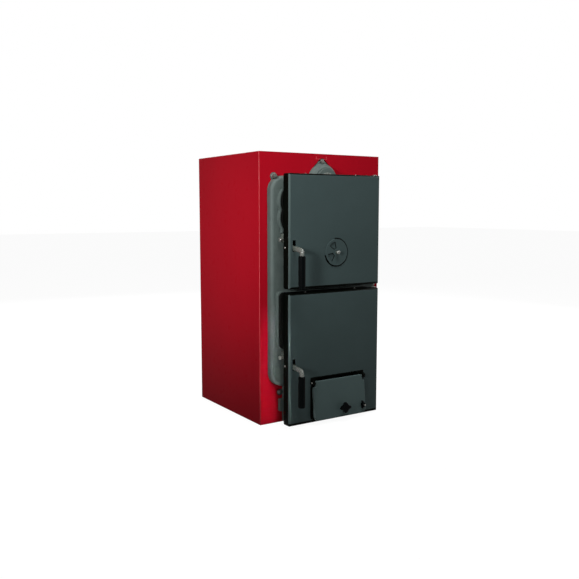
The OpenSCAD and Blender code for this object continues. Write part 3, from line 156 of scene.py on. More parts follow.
def grey_casting():
    f = Finish("grey_casting", (0.084, 0.108, 0.101), roughness=0.5, Specular_IOR_Level=0.15)
    f.mottle(f.grain(scale=26, detail=6, roughness=0.65), (0.3, 0.86), (0.5, 1), (0.72, 1.12))
    f.gloss(f.grain(scale=180, detail=5), 0.42, 0.6)
    f.relief(
        (f.grain(scale=90, detail=5, roughness=0.6), 0.5),
        (f.grain(scale=700, roughness=0.6), 0.2))
    return f


def dark_casting():
    f = Finish("dark_casting", (0.0022, 0.0026, 0.0022), roughness=0.6, Specular_IOR_Level=0.03)
    f.mottle(f.grain(scale=30, detail=6, roughness=0.65), (0.3, 0.7), (0.7, 1.5))
    f.gloss(f.grain(scale=200, detail=5), 0.5, 0.75)
    f.relief((f.grain(scale=80, detail=5, roughness=0.6), 0.5), (f.grain(scale=650), 0.3))
    return f


def slate_paint(name, slate):
    f = Finish(name, slate, roughness=0.42, Specular_IOR_Level=0.08)
    f.mottle(f.grain(scale=8), (0.35, 0.96), (0.65, 1.04))
    f.gloss(f.grain(scale=60), 0.36, 0.48)
    f.relief((f.grain(scale=1400, detail=2), 0.02))
    return f


# Black enamel of the covers' walls and ears, also laid as painted shade and shadow: the covers'
# undersides and foot band, the rosette's walls, the strips and ring by the rosette and the black
# plates at the flap.
def black_enamel_and_painted_shade():
    f = Finish("black_enamel_and_painted_shade", (0.0012, 0.0017, 0.0011), roughness=0.4, Specular_IOR_Level=0.015)
    f.mottle(f.grain(scale=14, detail=3), (0.3, 0.8), (0.7, 1.3))
    f.gloss(f.grain(scale=90), 0.34, 0.5)
    f.relief((f.grain(scale=1400, detail=2), 0.02))
    return f


def zinc():
    f = Finish("zinc", (0.52, 0.52, 0.49), roughness=0.3, Metallic=1.0)
    f.mottle(f.grain(scale=60, detail=5), (0.3, 0.7), (0.7, 1.1))
    f.gloss(f.grain(scale=350), 0.22, 0.42)
    f.relief((f.grain(scale=900, detail=3), 0.04))
    return f


def zinc_in_painted_shade():
    """Zinc, darker and rougher than the bright zinc: a shaded copy, painted shade on the rods, nuts
    and set screw.
    """
    f = Finish("zinc_in_painted_shade", (0.17, 0.17, 0.155), roughness=0.45, Metallic=0.8)
    f.mottle(f.grain(scale=70, detail=5), (0.3, 0.65), (0.7, 1.15))
    f.gloss(f.grain(scale=300), 0.36, 0.56)
    f.relief((f.grain(scale=800, detail=3), 0.05))
    return f


def raw_iron():
    """Unpainted cast iron that the fire has browned."""
    f = Finish("raw_iron", (0.034, 0.030, 0.027), roughness=0.6, Specular_IOR_Level=0.3)
    f.mottle(f.grain(scale=35, detail=6, roughness=0.65), (0.3, 0.6), (0.7, 1.5))
    f.gloss(f.grain(scale=200, detail=5), 0.5, 0.75)
    f.relief((f.grain(scale=90, detail=5, roughness=0.6), 0.6), (f.grain(scale=650), 0.3))
    return f


def lever_iron():
    """Bright cast iron, smooth from the hand."""
    f = Finish("lever_iron", (0.100, 0.114, 0.098), roughness=0.25, Specular_IOR_Level=0.9)
    f.mottle(f.grain(scale=70, detail=5), (0.3, 0.8), (0.7, 1.15))
    f.gloss(f.grain(scale=260), 0.2, 0.32)
    f.relief((f.grain(scale=160), 0.1), (f.grain(scale=900, detail=3), 0.04))
    return f


def black_plastic():
    f = Finish("black_plastic", (0.0014, 0.0021, 0.0024), roughness=0.38, Specular_IOR_Level=0.02)
    f.mottle(f.grain(scale=12, detail=3), (0.3, 0.85), (0.7, 1.2))
    f.gloss(f.grain(scale=120), 0.32, 0.48)
    f.relief((f.grain(scale=1500, detail=2), 0.05))
    return f


def steel_sheet():
    f = Finish("steel_sheet", (0.30, 0.30, 0.31), roughness=0.4, Metallic=1.0)
    f.mottle(f.grain(scale=45, detail=5), (0.3, 0.7), (0.7, 1.2))
    f.gloss(f.grain(scale=300, stretch=(1, 0.05, 1)), 0.3, 0.55)
    f.relief((f.grain(scale=500, detail=3), 0.05))
    return f


def mineral_wool():
    f = Finish(
        "mineral_wool", (0.42, 0.36, 0.20), roughness=0.95, Specular_IOR_Level=0.1, Sheen_Weight=0.3)
    f.mottle(f.grain(scale=55, detail=8, roughness=0.7), (0.3, 0.7), (0.7, 1.25))
    f.relief(
        (f.grain(scale=45, detail=5), 2),
        (f.grain(scale=500, detail=6, roughness=0.7, stretch=(1, 1, 0.1)), 0.8))
    return f


def glass_rope():
    f = Finish(
        "glass_rope", (0.60, 0.58, 0.53), roughness=0.85, Specular_IOR_Level=0.2, Sheen_Weight=0.3)
    f.mottle(f.grain(scale=200, detail=5), (0.3, 0.6), (0.7, 1.15))
    f.relief((f.pits(scale=450, randomness=0.4), 0.6))
    return f


FINISHES = {
    "red_enamel": red_enamel(),
    "grey_casting": grey_casting(),
    "dark_casting": dark_casting(),
    "slate_paint": slate_paint("slate_paint", (0.046, 0.069, 0.069)),
    "zinc": zinc(),
    "black_plastic": black_plastic(),
    "steel_sheet": steel_sheet(),
    "mineral_wool": mineral_wool(),
    "rope": glass_rope(),
}
BLACK_ENAMEL_AND_PAINTED_SHADE = black_enamel_and_painted_shade()
LEVER_IRON = lever_iron()
ZINC_IN_PAINTED_SHADE = zinc_in_painted_shade()
RAW_IRON = raw_iron()
# lighter copy of the door slate for the flap: painted light for the light its tilt catches
FLAP_PAINTED_LIGHT = slate_paint("flap_painted_light", (0.083, 0.122, 0.120))
# still lighter slate for the flap's left edge: a painted highlight
FLAP_PAINTED_HIGHLIGHT = slate_paint("flap_painted_highlight", (0.20, 0.27, 0.265))
# lighter slate for the door covers' left edges: a painted highlight
SLATE_PAINTED_HIGHLIGHT = slate_paint("slate_painted_highlight", (0.075, 0.104, 0.101))
PAINTED_FOLD_HIGHLIGHT = painted_fold_highlight()


def dress_frame():
    """Gives every carried-over node the finish of its slot in the record."""
    for name, node in NODES.items():
        node.data.materials.clear()
        node.data.materials.append(FINISHES[SLOT_OF[name]].material)


# Shapes

SEAM = 0.00002                  # points this near are one, and places this near are the same
CUT_GAP = SEAM / 4              # points this near are one after a cut
FLAT = math.radians(0.4)        # faces that meet at less are one flat face
SHARP = math.radians(32)        # edges that turn more are sharp
PARALLEL = 0.999                # least share of an edge's run that is along its axis
TURNED = 0.5                    # share of a normal on an axis from which a face looks that way
OVERRUN = 0.01                  # how far a cutter runs past what it cuts
REACH = 0.05                    # how far bounds run past the front and back of what they cut


def proud(distance):
    """Y of a plane so many millimetres in front of the jacket."""
    return -HALF_DEPTH - distance * MM


def flattened(shape):
    """Merges the parts of each flat face."""
    bmesh.ops.dissolve_limit(
        shape, angle_limit=FLAT, verts=shape.verts, edges=shape.edges, use_dissolve_boundaries=False)
    return shape


def solid_of(node):
    """A CAD node's surface with its loose triangles merged into whole faces."""
    shape = bmesh.new()
    shape.from_mesh(NODES[node].data)
    bmesh.ops.remove_doubles(shape, verts=shape.verts, dist=SEAM)
    return flattened(shape)


def block(low, high):
    """Box from corner to corner."""
    low, high = Vector(low), Vector(high)
    shape = bmesh.new()
    bmesh.ops.create_cube(shape, size=1)
    bmesh.ops.scale(shape, vec=high - low, verts=shape.verts)
    bmesh.ops.translate(shape, vec=(low + high) / 2, verts=shape.verts)
    return shape


def bar(start, end, start_r, end_r=None, segments=48):
    """Round bar between two points, tapered where its ends differ."""
    start, end = Vector(start), Vector(end)
    shape = bmesh.new()
    bmesh.ops.create_cone(
        shape, cap_ends=True, segments=segments, radius1=start_r,
        radius2=start_r if end_r is None else end_r, depth=(end - start).length)
    turn = (end - start).to_track_quat("Z", "Y").to_matrix().to_4x4()
    bmesh.ops.transform(shape, matrix=Matrix.Translation((start + end) / 2) @ turn, verts=shape.verts)
    return shape


def turned(profile, centre, axis, segments):
    """Spins (radius, height) points in millimetres round an axis through a centre."""
    shape = bmesh.new()
    points = [shape.verts.new((r * MM, 0, h * MM)) for r, h in profile]
    for below, above in zip(points, points[1:]):
        shape.edges.new((below, above))
    bmesh.ops.spin(
        shape, geom=shape.verts[:] + shape.edges[:], cent=(0, 0, 0), axis=(0, 0, 1),
        angle=math.tau, steps=segments, use_merge=True)
    bmesh.ops.remove_doubles(shape, verts=shape.verts, dist=SEAM)
    bmesh.ops.recalc_face_normals(shape, faces=shape.faces)
    turn = Vector(axis).to_track_quat("Z", "Y").to_matrix().to_4x4()
    bmesh.ops.transform(shape, matrix=Matrix.Translation(centre) @ turn, verts=shape.verts)
    return shape


def round_edges(shape, width, segments, chosen):
    """Bevels the edges that a test picks."""
    bmesh.ops.bevel(
        shape, geom=[e for e in shape.edges if chosen(e)], offset=width, offset_type="OFFSET",
        segments=segments, profile=0.5, affect="EDGES", material=-1, clamp_overlap=False)
    return shape


def along(edge, axis):
    """Whether an edge runs along an axis: 0, 1 or 2."""
    run = (edge.verts[1].co - edge.verts[0].co).normalized()
    return abs(run[axis]) > PARALLEL


def on_plane(edge, axis, where):
    """Whether an edge lies on the plane across an axis at a place."""
    return all(abs(v.co[axis] - where) < SEAM for v in edge.verts)


def sliced(shape, point, normal, keep_both=False):
    """Cuts a shape by a plane.

    Unless both sides are kept, the one that the normal points to goes and the cut is closed.
    """
    bmesh.ops.bisect_plane(
        shape, geom=shape.verts[:] + shape.edges[:] + shape.faces[:], plane_co=point, plane_no=normal,
        clear_outer=not keep_both)
    if not keep_both:
        bmesh.ops.holes_fill(shape, edges=[e for e in shape.edges if e.is_boundary])
    return shape


def joined(first, *others):
    """Several closed shapes as one."""
    for other in others:
        mesh = bpy.data.meshes.new("part")
        other.to_mesh(mesh)
        other.free()
        first.from_mesh(mesh)
        bpy.data.meshes.remove(mesh)
    return first


def loose_object(name, shape):
    mesh = bpy.data.meshes.new(name)
    shape.to_mesh(mesh)
    shape.free()
    thing = bpy.data.objects.new(name, mesh)
    bpy.context.scene.collection.objects.link(thing)
    return thing


def carve(shape, *cutters, how="DIFFERENCE"):
    """Takes closed cutters out of a closed shape, or keeps only what is in them."""
    work = loose_object("work", shape)
    tools = [loose_object("tool", cutter) for cutter in cutters]
    for tool in tools:
        cut = work.modifiers.new("cut", "BOOLEAN")
        cut.operation = how
        cut.solver = "EXACT"
        cut.object = tool
    bpy.context.view_layer.update()
    result = bpy.data.meshes.new_from_object(
        work.evaluated_get(bpy.context.evaluated_depsgraph_get()))
    carved = bmesh.new()
    carved.from_mesh(result)
    for spent in (work, *tools):
        mesh = spent.data
        bpy.data.objects.remove(spent)
        bpy.data.meshes.remove(mesh)
    bpy.data.meshes.remove(result)
    bmesh.ops.remove_doubles(carved, verts=carved.verts, dist=CUT_GAP)
    bmesh.ops.dissolve_degenerate(carved, dist=CUT_GAP, edges=carved.edges)
    return flattened(carved)


def piece(name, shape, node, edge=0, segments=2, finish=None, others=(), where=None, stands=True):
    """Finished piece that stands for a CAD node, or only belongs beside it.

    Its edges are broken by a bevel of so many millimetres, and where() numbers each face's finish.
    """
    thing = loose_object(name, shape)
    mesh = thing.data
    mesh.materials.clear()
    for dress in (finish or FINISHES[SLOT_OF[node]], *others):
        mesh.materials.append(dress.material)
    if others:
        for face in mesh.polygons:
            face.material_index = int(where(face))
    mesh.shade_smooth()
    mesh.set_sharp_from_angle(angle=SHARP)
    if edge:
        bevel = thing.modifiers.new("broken_edges", "BEVEL")
        bevel.width = edge * MM
        bevel.segments = segments
        bevel.limit_method = "ANGLE"
        bevel.angle_limit = SHARP
        bevel.use_clamp_overlap = False
        bevel.miter_outer = "MITER_ARC"
    flat = thing.modifiers.new("flat_faces", "WEIGHTED_NORMAL")
    flat.keep_sharp = True
    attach(thing, BODY_OF[node])
    if stands:
        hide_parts(node)


# Front section

SKIN = 0.00005                  # keeps the soft edge's faces off the section's own
BODY_X = 0.2255 + SKIN          # half width of its main body
BODY_LOW = 0.133 - SKIN
BODY_HIGH = 0.858 + SKIN
BODY_CORNER = 0.052 + SKIN
BODY_PROUD = 26
FILLET = 0.012                  # radius of the soft edge round its face
FACE_IN = 0.001                 # from the soft edge to the part that stays untouched
FACE_PROUD = (20, 40)
LEG_X = 0.1675
LEG_Z = (0.1, 0.2)
HUB_Z = 0.844
HUB_FOOT_R = 0.0643             # cone that keeps the hub out of the soft edge
HUB_END_R = 0.0444
HUB_PROUD = 30
WASTE_X = 0.27
WASTE_Z = (0.128, 0.9)
WASTE_PROUD = (13.9, 26.4)      # just clear of the soft edge's back and of the face
RIM_PROUD = 36                  # front of the rims round the openings
RIM_ROUND = 0.002


def front_plate(x, low, high, corner, back, front):
    """Upright block with rounded corners between two planes, like the front section's outline."""
    shape = block((-x, proud(front), low), (x, proud(back), high))
    return round_edges(shape, corner, segments=16, chosen=lambda e: along(e, 1))


def fillet_waste():
    """What the soft edge of the front section leaves away round its flat face."""
    body = front_plate(BODY_X, BODY_LOW, BODY_HIGH, BODY_CORNER, 0, BODY_PROUD)
    body = round_edges(body, FILLET, segments=8, chosen=lambda e: on_plane(e, 1, proud(BODY_PROUD)))
    face = front_plate(
        BODY_X - FILLET - FACE_IN, BODY_LOW + FILLET + FACE_IN, BODY_HIGH - FILLET - FACE_IN,
        BODY_CORNER - FILLET - FACE_IN, *FACE_PROUD)
    legs = block((-LEG_X, proud(FACE_PROUD[1]), LEG_Z[0]), (LEG_X, proud(0), LEG_Z[1]))
    hub = bar(
        (0, proud(0), HUB_Z), (0, proud(HUB_PROUD), HUB_Z), HUB_FOOT_R, HUB_END_R, segments=96)
    slab = block(
        (-WASTE_X, proud(WASTE_PROUD[1]), WASTE_Z[0]), (WASTE_X, proud(WASTE_PROUD[0]), WASTE_Z[1]))
    return carve(slab, body, face, legs, hub)


def front_section():
    shape = carve(solid_of("front_section"), fillet_waste())
    shape = round_edges(
        shape, RIM_ROUND, segments=3,
        chosen=lambda e: on_plane(e, 1, proud(RIM_PROUD)) and e.is_convex)
    piece("front_casting", shape, "front_section", edge=0.7)


LUG_PROUD = (-7, 1.2)
LUG_ENDS = ((0.9025, 0.0150), (0.862, 0.0450))    # height and radius
TOP_ROD_Z = 0.912
LUG_POCKET_R = 0.0103


def hub_lug():
    """Rim of the hub's lug, which stands up round its tie rod's nut."""
    back, front = (proud(p) for p in LUG_PROUD)
    shape = joined(*(bar((0, back, z), (0, front, z), r, segments=64) for z, r in LUG_ENDS))
    hull = bmesh.ops.convex_hull(shape, input=shape.verts[:])
    inside = {*hull["geom_interior"], *hull["geom_unused"]}
    bmesh.ops.delete(
        shape, geom=[g for g in inside if isinstance(g, bmesh.types.BMVert)], context="VERTS")
    spare = [f for f in shape.faces if f not in hull["geom"]]
    bmesh.ops.delete(shape, geom=spare, context="FACES_ONLY")
    bmesh.ops.recalc_face_normals(shape, faces=shape.faces)
    pocket = bar((0, back + OVERRUN, TOP_ROD_Z), (0, front - OVERRUN, TOP_ROD_Z), LUG_POCKET_R)
    piece(
        "hub_lug_rim", carve(shape, pocket), "front_section", edge=1.4, segments=3, stands=False)


# Doors

COVER_PROUD = 86
EARS_PROUD = COVER_PROUD + 1    # faces further out are on the ears that hold the flap
COVER_CORNER = 0.0065
COVER_FOOT_SHADE = 0.0105             # height of the black band of painted shade along the lower door's foot
FACES_FRONT = -0.9              # a normal's Y on the slate front
FACES_LEFT = (-0.93, -0.3)      # and its X on the left edge, which gets lighter slate as a painted highlight
EDGE_TILT = 0.35                # a normal's Z stays under this on an upright edge
FACES_DOWN = -0.05
FOLD_LEAN = -0.2


def cover_finish(face, foot_shade_z):
    """0 on a cover's slate front; 1 on its black walls and ears, and as painted shade on its
    undersides and foot band; 2 on its left edge, lighter slate as a painted highlight.
    """
    n = face.normal
    left_edge = FACES_LEFT[0] < n.x < FACES_LEFT[1] and n.y < 0 and abs(n.z) < EDGE_TILT
    # faces turned down get the black as painted shade
    looks_down = n.z < FACES_DOWN and n.y < 0
    stands_out = face.center.y < proud(EARS_PROUD)
    if looks_down or stands_out or not (n.y < FACES_FRONT or left_edge) or face.center.z < foot_shade_z:
        return 1
    return 2 if n.x < FOLD_LEAN else 0


def grown(box, top=SEAM):
    """Corners of a box, just clear of its sides and well clear of its front and back."""
    low, high = box
    return low - Vector((SEAM, REACH, SEAM)), high + Vector((SEAM, REACH, top))


def door_cover(node, band=0):
    """Sheet cover with rounded corners and a black foot band of painted shade, so many metres high.
    """
    low, high = grown(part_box(node))
    bounds = round_edges(
        block(low, high), COVER_CORNER, segments=8, chosen=lambda e: along(e, 1))
    shape = carve(solid_of(node), bounds, how="INTERSECT")
    foot_shade_z = low.z + band
    if band:
        sliced(shape, (0, 0, foot_shade_z), (0, 0, 1), keep_both=True)
    piece(
        node + "_sheet", shape, node, others=[BLACK_ENAMEL_AND_PAINTED_SHADE, SLATE_PAINTED_HIGHLIGHT],
        where=lambda face: cover_finish(face, foot_shade_z))


# Handles, in millimetres from the lever's pin

LEVER_HALF = (5, 8.5)
LEVER_ROUND = 4.2
ARM = ((8, 0.5, 4), (15.3, 1.02, 5), (40, 3.6, 5.5))    # reach, drop and turn in degrees
ROOT_REACH = 14                 # where the round-edged arm takes over from the CAD's root
ELBOW_R = 10
ELBOW_DROP = 5.9
ELBOW_STEPS = 12
ELBOW_START = (4, 0.4, 4)       # reach and drop short of the bend, and turn in degrees
GRIP_REACH = 72.3
GRIP_DROP = 25
GRIP_LENGTH = 107
GRIP_R = 12
GRIP_FOOT = ((4, 0), (1.2, 0.9), (0, 4))              # inset and height
GRIP_TOP = ((0, 3), (0.6, 1), (2, 0.1), (4, 0))       # inset and depth under the top
GRIP_WAVE = 0.1                 # how much the grip's side swells and sinks
GRIP_STEPS = 9


def lever_stations():
    """(reach, drop, turn in degrees) along the lever's middle line."""
    yield from ARM
    short, rise, turn = ELBOW_START
    yield GRIP_REACH - ELBOW_R - short, ELBOW_DROP - rise, turn
    for step in range(1, ELBOW_STEPS + 1):
        turn = step * 90 / ELBOW_STEPS
        bend = math.radians(turn)
        yield (
            GRIP_REACH - ELBOW_R * (1 - math.sin(bend)), ELBOW_DROP + ELBOW_R * (1 - math.cos(bend)),
            turn)
    yield GRIP_REACH, GRIP_DROP, 90


def swept(face_of, stations):
    """Carries a flat outline through the stations' matrices."""
    shape = bmesh.new()
    face = first = face_of(shape)
    bmesh.ops.transform(shape, matrix=stations[0], verts=shape.verts)
    for last, here in zip(stations, stations[1:]):
        added = bmesh.ops.extrude_face_region(shape, geom=[face])["geom"]
        if face.is_valid and face is not first:
            bmesh.ops.delete(shape, geom=[face], context="FACES_ONLY")
        face = next(g for g in added if isinstance(g, bmesh.types.BMFace))
        bmesh.ops.transform(shape, matrix=here @ last.inverted(), verts=face.verts)
    bmesh.ops.recalc_face_normals(shape, faces=shape.faces)
    return shape


def lever_section(shape):
    """Rounded rectangle in the X-Z plane."""
    bmesh.ops.create_grid(shape, x_segments=1, y_segments=1, size=1)
    half = [size * MM for size in LEVER_HALF]
    turn = Matrix.Rotation(math.pi / 2, 4, "X") @ Matrix.Diagonal((*half, 1, 1))
    bmesh.ops.transform(shape, matrix=turn, verts=shape.verts)
    bmesh.ops.bevel(
        shape, geom=shape.verts[:], offset=LEVER_ROUND * MM, offset_type="OFFSET", segments=5,
        profile=0.5, affect="VERTICES", material=-1, clamp_overlap=False)
    return next(iter(shape.faces))


def grip_profile():
    """(radius, height) points from the grip's foot to its top."""
    yield 0, 0
    for inset, height in GRIP_FOOT:
        yield GRIP_R - inset, height
    for n in range(1, GRIP_STEPS):
        swell = math.sin(math.pi * n / (GRIP_STEPS - 1)) - 1
        yield GRIP_R + GRIP_WAVE * swell, GRIP_LENGTH * n / GRIP_STEPS
    for inset, depth in GRIP_TOP:
        yield GRIP_R - inset, GRIP_LENGTH - depth
    yield 0, GRIP_LENGTH


def handle(side):
    """Cast lever with a round-edged arm, and its plastic grip."""
    x, y, z = PIVOT_OF[side + "_handle_lift"]
    stations = [
        Matrix.Translation((x, y - reach * MM, z - drop * MM))
        @ Matrix.Rotation(math.radians(turn), 4, "X")
        for reach, drop, turn in lever_stations()]
    root = sliced(solid_of(side + "_handle_lever"), (0, y - ROOT_REACH * MM, 0), (0, -1, 0))
    arm = swept(lever_section, stations)
    piece(
        side + "_lever", joined(root, arm), side + "_handle_lever", edge=0.6, finish=LEVER_IRON)
    foot = z - (GRIP_DROP + GRIP_LENGTH) * MM
    grip = turned([*grip_profile()], (x, y - GRIP_REACH * MM, foot), (0, 0, 1), segments=64)
    piece(side + "_grip", grip, side + "_handle_grip")


# Rosette

ROSETTE_R = 0.046
BRIGHT_SHARES = (0.9, -0.2)     # of the radius, outwards and upwards: past both the rim wall is lit and keeps its slate, the other walls get painted shade
# black strips of painted shadow on the door along two window edges
SHADOW_STRIP_X = (0.015, 0.0366)         # from the rosette's middle
SHADOW_STRIPS = ((142, -0.0034, 0.0002), (186, 0, 0.0036))    # turn in degrees, lower and upper edge
SHADOW_STRIP_T = 0.0006
SHADOW_STRIP_PROUD = COVER_PROUD + 1
SHADOW_RING_IN = 0.002                  # the painted shadow ring's reach under the disc
SHADOW_RING_OUT = 0.0042                # and past it
SHADOW_RING_ARC = (-170, 98)
SHADOW_RING_SHIFT = 0.0012              # to the right
SHADOW_RING_T = 0.0002
SHADOW_RING_PROUD = COVER_PROUD + 0.15
KNOB_PROUD = COVER_PROUD + 4
KNOB_NECK = ((0, 0), (4.5, 0), (4, 2), (3.6, 4.5))    # radius and height in millimetres
KNOB_BALL = (7.2, 5.8)          # its half width and half height in millimetres
KNOB_BALL_H = 9.8               # and its middle's height
KNOB_BALL_ARC = range(-60, 90, 15)                     # degrees


def rosette():
    """Turning disc whose walls are black as painted shade except where the rim is lit, strips of
    painted shadow by two windows, a ring of painted shadow round its rim, and its knob.
    """
    x, _, z = PIVOT_OF["rosette_turn"]

    # walls that get the black as painted shade
    def dark(face):
        across, up = face.center.x - x, face.center.z - z
        outside = math.hypot(across, up) > BRIGHT_SHARES[0] * ROSETTE_R
        bright = outside and across < 0 and up > BRIGHT_SHARES[1] * ROSETTE_R
        return face.normal.y > -TURNED and not bright

    piece(
        "rosette_plate", solid_of("rosette_disc"), "rosette_disc", edge=0.4, others=[BLACK_ENAMEL_AND_PAINTED_SHADE],
        where=dark)
    piece("rosette_shadow_strips", window_painted_shadows(x, z), "rosette_disc", finish=BLACK_ENAMEL_AND_PAINTED_SHADE, stands=False)
    piece("rosette_painted_shadow", painted_shadow_ring(x, z), "upper_door_cover", finish=BLACK_ENAMEL_AND_PAINTED_SHADE, stands=False)
    piece("rosette_button", rosette_knob(x, z), "rosette_knob", finish=LEVER_IRON)


# Thin black strips on the door beside two of the windows' edges: painted shadow.
def window_painted_shadows(x, z):
    shadow_strips = bmesh.new()
    for angle, below, above in SHADOW_STRIPS:
        shadow_strip = block((SHADOW_STRIP_X[0], 0, below), (SHADOW_STRIP_X[1], SHADOW_STRIP_T, above))
        turn = Matrix.Rotation(-math.radians(angle), 4, "Y")
        bmesh.ops.transform(
            shadow_strip, matrix=Matrix.Translation((x, proud(SHADOW_STRIP_PROUD), z)) @ turn, verts=shadow_strip.verts)
        shadow_strips = joined(shadow_strips, shadow_strip)
    return shadow_strips


def painted_shadow_ring(x, z):
    """Thin black arc on the door along the disc's rim: painted shadow."""
    ring = bmesh.new()
    ends = [ring.verts.new((r, 0, 0)) for r in (ROSETTE_R - SHADOW_RING_IN, ROSETTE_R + SHADOW_RING_OUT)]
    across = ring.edges.new(ends)
    start, stop = (math.radians(angle) for angle in SHADOW_RING_ARC)
    bmesh.ops.transform(ring, matrix=Matrix.Rotation(-start, 4, "Y"), verts=ring.verts)
    bmesh.ops.spin(
        ring, geom=[*ends, across], cent=(0, 0, 0), axis=(0, 1, 0), angle=start - stop, steps=60,
        use_merge=False)
    bmesh.ops.translate(ring, vec=(x + SHADOW_RING_SHIFT, proud(SHADOW_RING_PROUD), z), verts=ring.verts)
    bmesh.ops.solidify(ring, geom=ring.faces[:], thickness=SHADOW_RING_T)
    bmesh.ops.recalc_face_normals(ring, faces=ring.faces)
    return ring


def rosette_knob(x, z):
    ball = [
        (KNOB_BALL[0] * math.cos(a), KNOB_BALL_H + KNOB_BALL[1] * math.sin(a))
        for a in map(math.radians, KNOB_BALL_ARC)]
    top = (0, KNOB_BALL_H + KNOB_BALL[1])
    return turned([*KNOB_NECK, *ball, top], (x, proud(KNOB_PROUD), z), (0, -1, 0), segments=40)


# Air inlet and its flap

DUCT_X = (-0.083, 0.097)        # clear opening of the air duct
DUCT_CUT_Z = (0.036, 0.2)
DUCT_CUT_PROUD = (80, 120)
# a thin black plate of painted shade on the lower door's cover, above and beside the flap
PAINTED_SHADE_X = (-0.106, 0.126)
PAINTED_SHADE_Z = (0.141, 0.1665)
PAINTED_SHADE_PROUD = (85.5, 86.8)
PAINTED_SHADE_CORNER = 0.003
PAINTED_SHADE_CUT_Z = (0.1, 0.1635)
PAINTED_SHADE_CUT_PROUD = (80, 90)
FLAP_LEAN = math.radians(5)
FLAP_HALF = 5.5                 # half its thickness in millimetres
FLAP_CORNER = 0.011
FLAP_LEFT_X = -0.08
# a black block of painted shade behind the flap, seen under and beside it
SHADE_BLOCK_X = (-0.106, 0.1185)
SHADE_BLOCK_Z = (0.0162, 0.14)
SHADE_BLOCK_PROUD = (85.8, 110)
SHADE_BLOCK_CORNER = 0.013
SHADE_BLOCK_PLAY = 0.9                # millimetres from the flap's back


def flap_painted_shade():
    """Thin black plate on the cover above and beside the top of the flap, behind its pins: painted
    shade.
    """
    back, front = (proud(p) for p in PAINTED_SHADE_PROUD)
    painted_shade = block((PAINTED_SHADE_X[0], front, PAINTED_SHADE_Z[0]), (PAINTED_SHADE_X[1], back, PAINTED_SHADE_Z[1]))
    painted_shade = round_edges(painted_shade, PAINTED_SHADE_CORNER, segments=3, chosen=lambda e: along(e, 1))
    opening = block(
        (DUCT_X[0], proud(PAINTED_SHADE_CUT_PROUD[1]), PAINTED_SHADE_CUT_Z[0]),
        (DUCT_X[1], proud(PAINTED_SHADE_CUT_PROUD[0]), PAINTED_SHADE_CUT_Z[1]))
    piece(
        "flap_painted_shade", carve(painted_shade, opening), "lower_door_cover", edge=0.2, finish=BLACK_ENAMEL_AND_PAINTED_SHADE,
        stands=False)


def flap():
    """Cast flap in lighter slate as painted light, with rounded lower corners and a left edge in
    still lighter slate as a painted highlight.
    """
    low, high = grown(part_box("air_flap"), top=OVERRUN)
    bounds = round_edges(
        block(low, high), FLAP_CORNER, segments=6,
        chosen=lambda e: along(e, 1) and on_plane(e, 2, low.z))
    shape = carve(solid_of("air_flap"), bounds, how="INTERSECT")
    piece(
        "flap_plate", shape, "air_flap", edge=1.2, finish=FLAP_PAINTED_LIGHT, others=[FLAP_PAINTED_HIGHLIGHT],
        where=lambda face: face.normal.x < -TURNED and face.center.x < FLAP_LEFT_X)


def flap_shade_block():
    """Black block of painted shade between the door and the flap, round the air duct's opening, cut
    off on the slant that the flap lies on.
    """
    back, front = (proud(p) for p in SHADE_BLOCK_PROUD)
    shade_block = block((SHADE_BLOCK_X[0], front, SHADE_BLOCK_Z[0]), (SHADE_BLOCK_X[1], back, SHADE_BLOCK_Z[1]))
    shade_block = round_edges(shade_block, SHADE_BLOCK_CORNER, segments=5, chosen=lambda e: along(e, 1))
    slant = Vector((0, -math.cos(FLAP_LEAN), math.sin(FLAP_LEAN)))
    pin = Vector((0, *PIVOT_OF["flap_swing"][1:]))
    shade_block = sliced(shade_block, pin - slant * (FLAP_HALF + SHADE_BLOCK_PLAY) * MM, slant)
    bmesh.ops.recalc_face_normals(shade_block, faces=shade_block.faces)
    opening = block(
        (DUCT_X[0], proud(DUCT_CUT_PROUD[1]), DUCT_CUT_Z[0]),
        (DUCT_X[1], proud(DUCT_CUT_PROUD[0]), DUCT_CUT_Z[1]))
    piece(
        "flap_shade_block", carve(shade_block, opening), "lower_door_cover", edge=0.5, finish=BLACK_ENAMEL_AND_PAINTED_SHADE,
        stands=False)


# Jacket

SHEET_FOLD = 0.0013
FOLD_X = -0.25                  # the fold gets the painted highlight only at the left of this
FOLD_Z = 0.9                    # and below this
TAB_X = (-0.0246, 0.0194)
TAB_Z = (0.9192, 0.9290)
TAB_LINE = 0.0011
TAB_PROUD = (-0.4, 0.15)
TAB_CUT_PROUD = (-1, 1)


def front_sheet():
    """Front sheet whose upright folds are round, the left one in lighter enamel as a painted
    highlight.
    """
    shape = solid_of("front_panel")
    low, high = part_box("front_panel")

    def fold(edge):
        return along(edge, 2) and on_plane(edge, 1, low.y) and (
            on_plane(edge, 0, low.x) or on_plane(edge, 0, high.x))

    # faces of the left fold that get the painted highlight
    def bright(face):
        turned_left = face.normal.x < FOLD_LEAN and face.normal.y < FOLD_LEAN
        return turned_left and face.center.x < FOLD_X and face.center.z < FOLD_Z

    shape = round_edges(shape, SHEET_FOLD, segments=4, chosen=fold)
    piece("front_sheet", shape, "front_panel", others=[PAINTED_FOLD_HIGHLIGHT], where=bright)


def sheet_tab():
    """Edge of the tab pressed in the front sheet over the hub, in lighter enamel as a painted
    highlight.
    """
    outer = block(
        (TAB_X[0], proud(TAB_PROUD[1]), TAB_Z[0]), (TAB_X[1], proud(TAB_PROUD[0]), TAB_Z[1]))
    inner = block(
        (TAB_X[0] + TAB_LINE, proud(TAB_CUT_PROUD[1]), TAB_Z[0] + TAB_LINE),
        (TAB_X[1] - TAB_LINE, proud(TAB_CUT_PROUD[0]), TAB_Z[1] + OVERRUN))
    piece("sheet_tab", carve(outer, inner), "front_panel", finish=PAINTED_FOLD_HIGHLIGHT, stands=False)


# Soft pieces

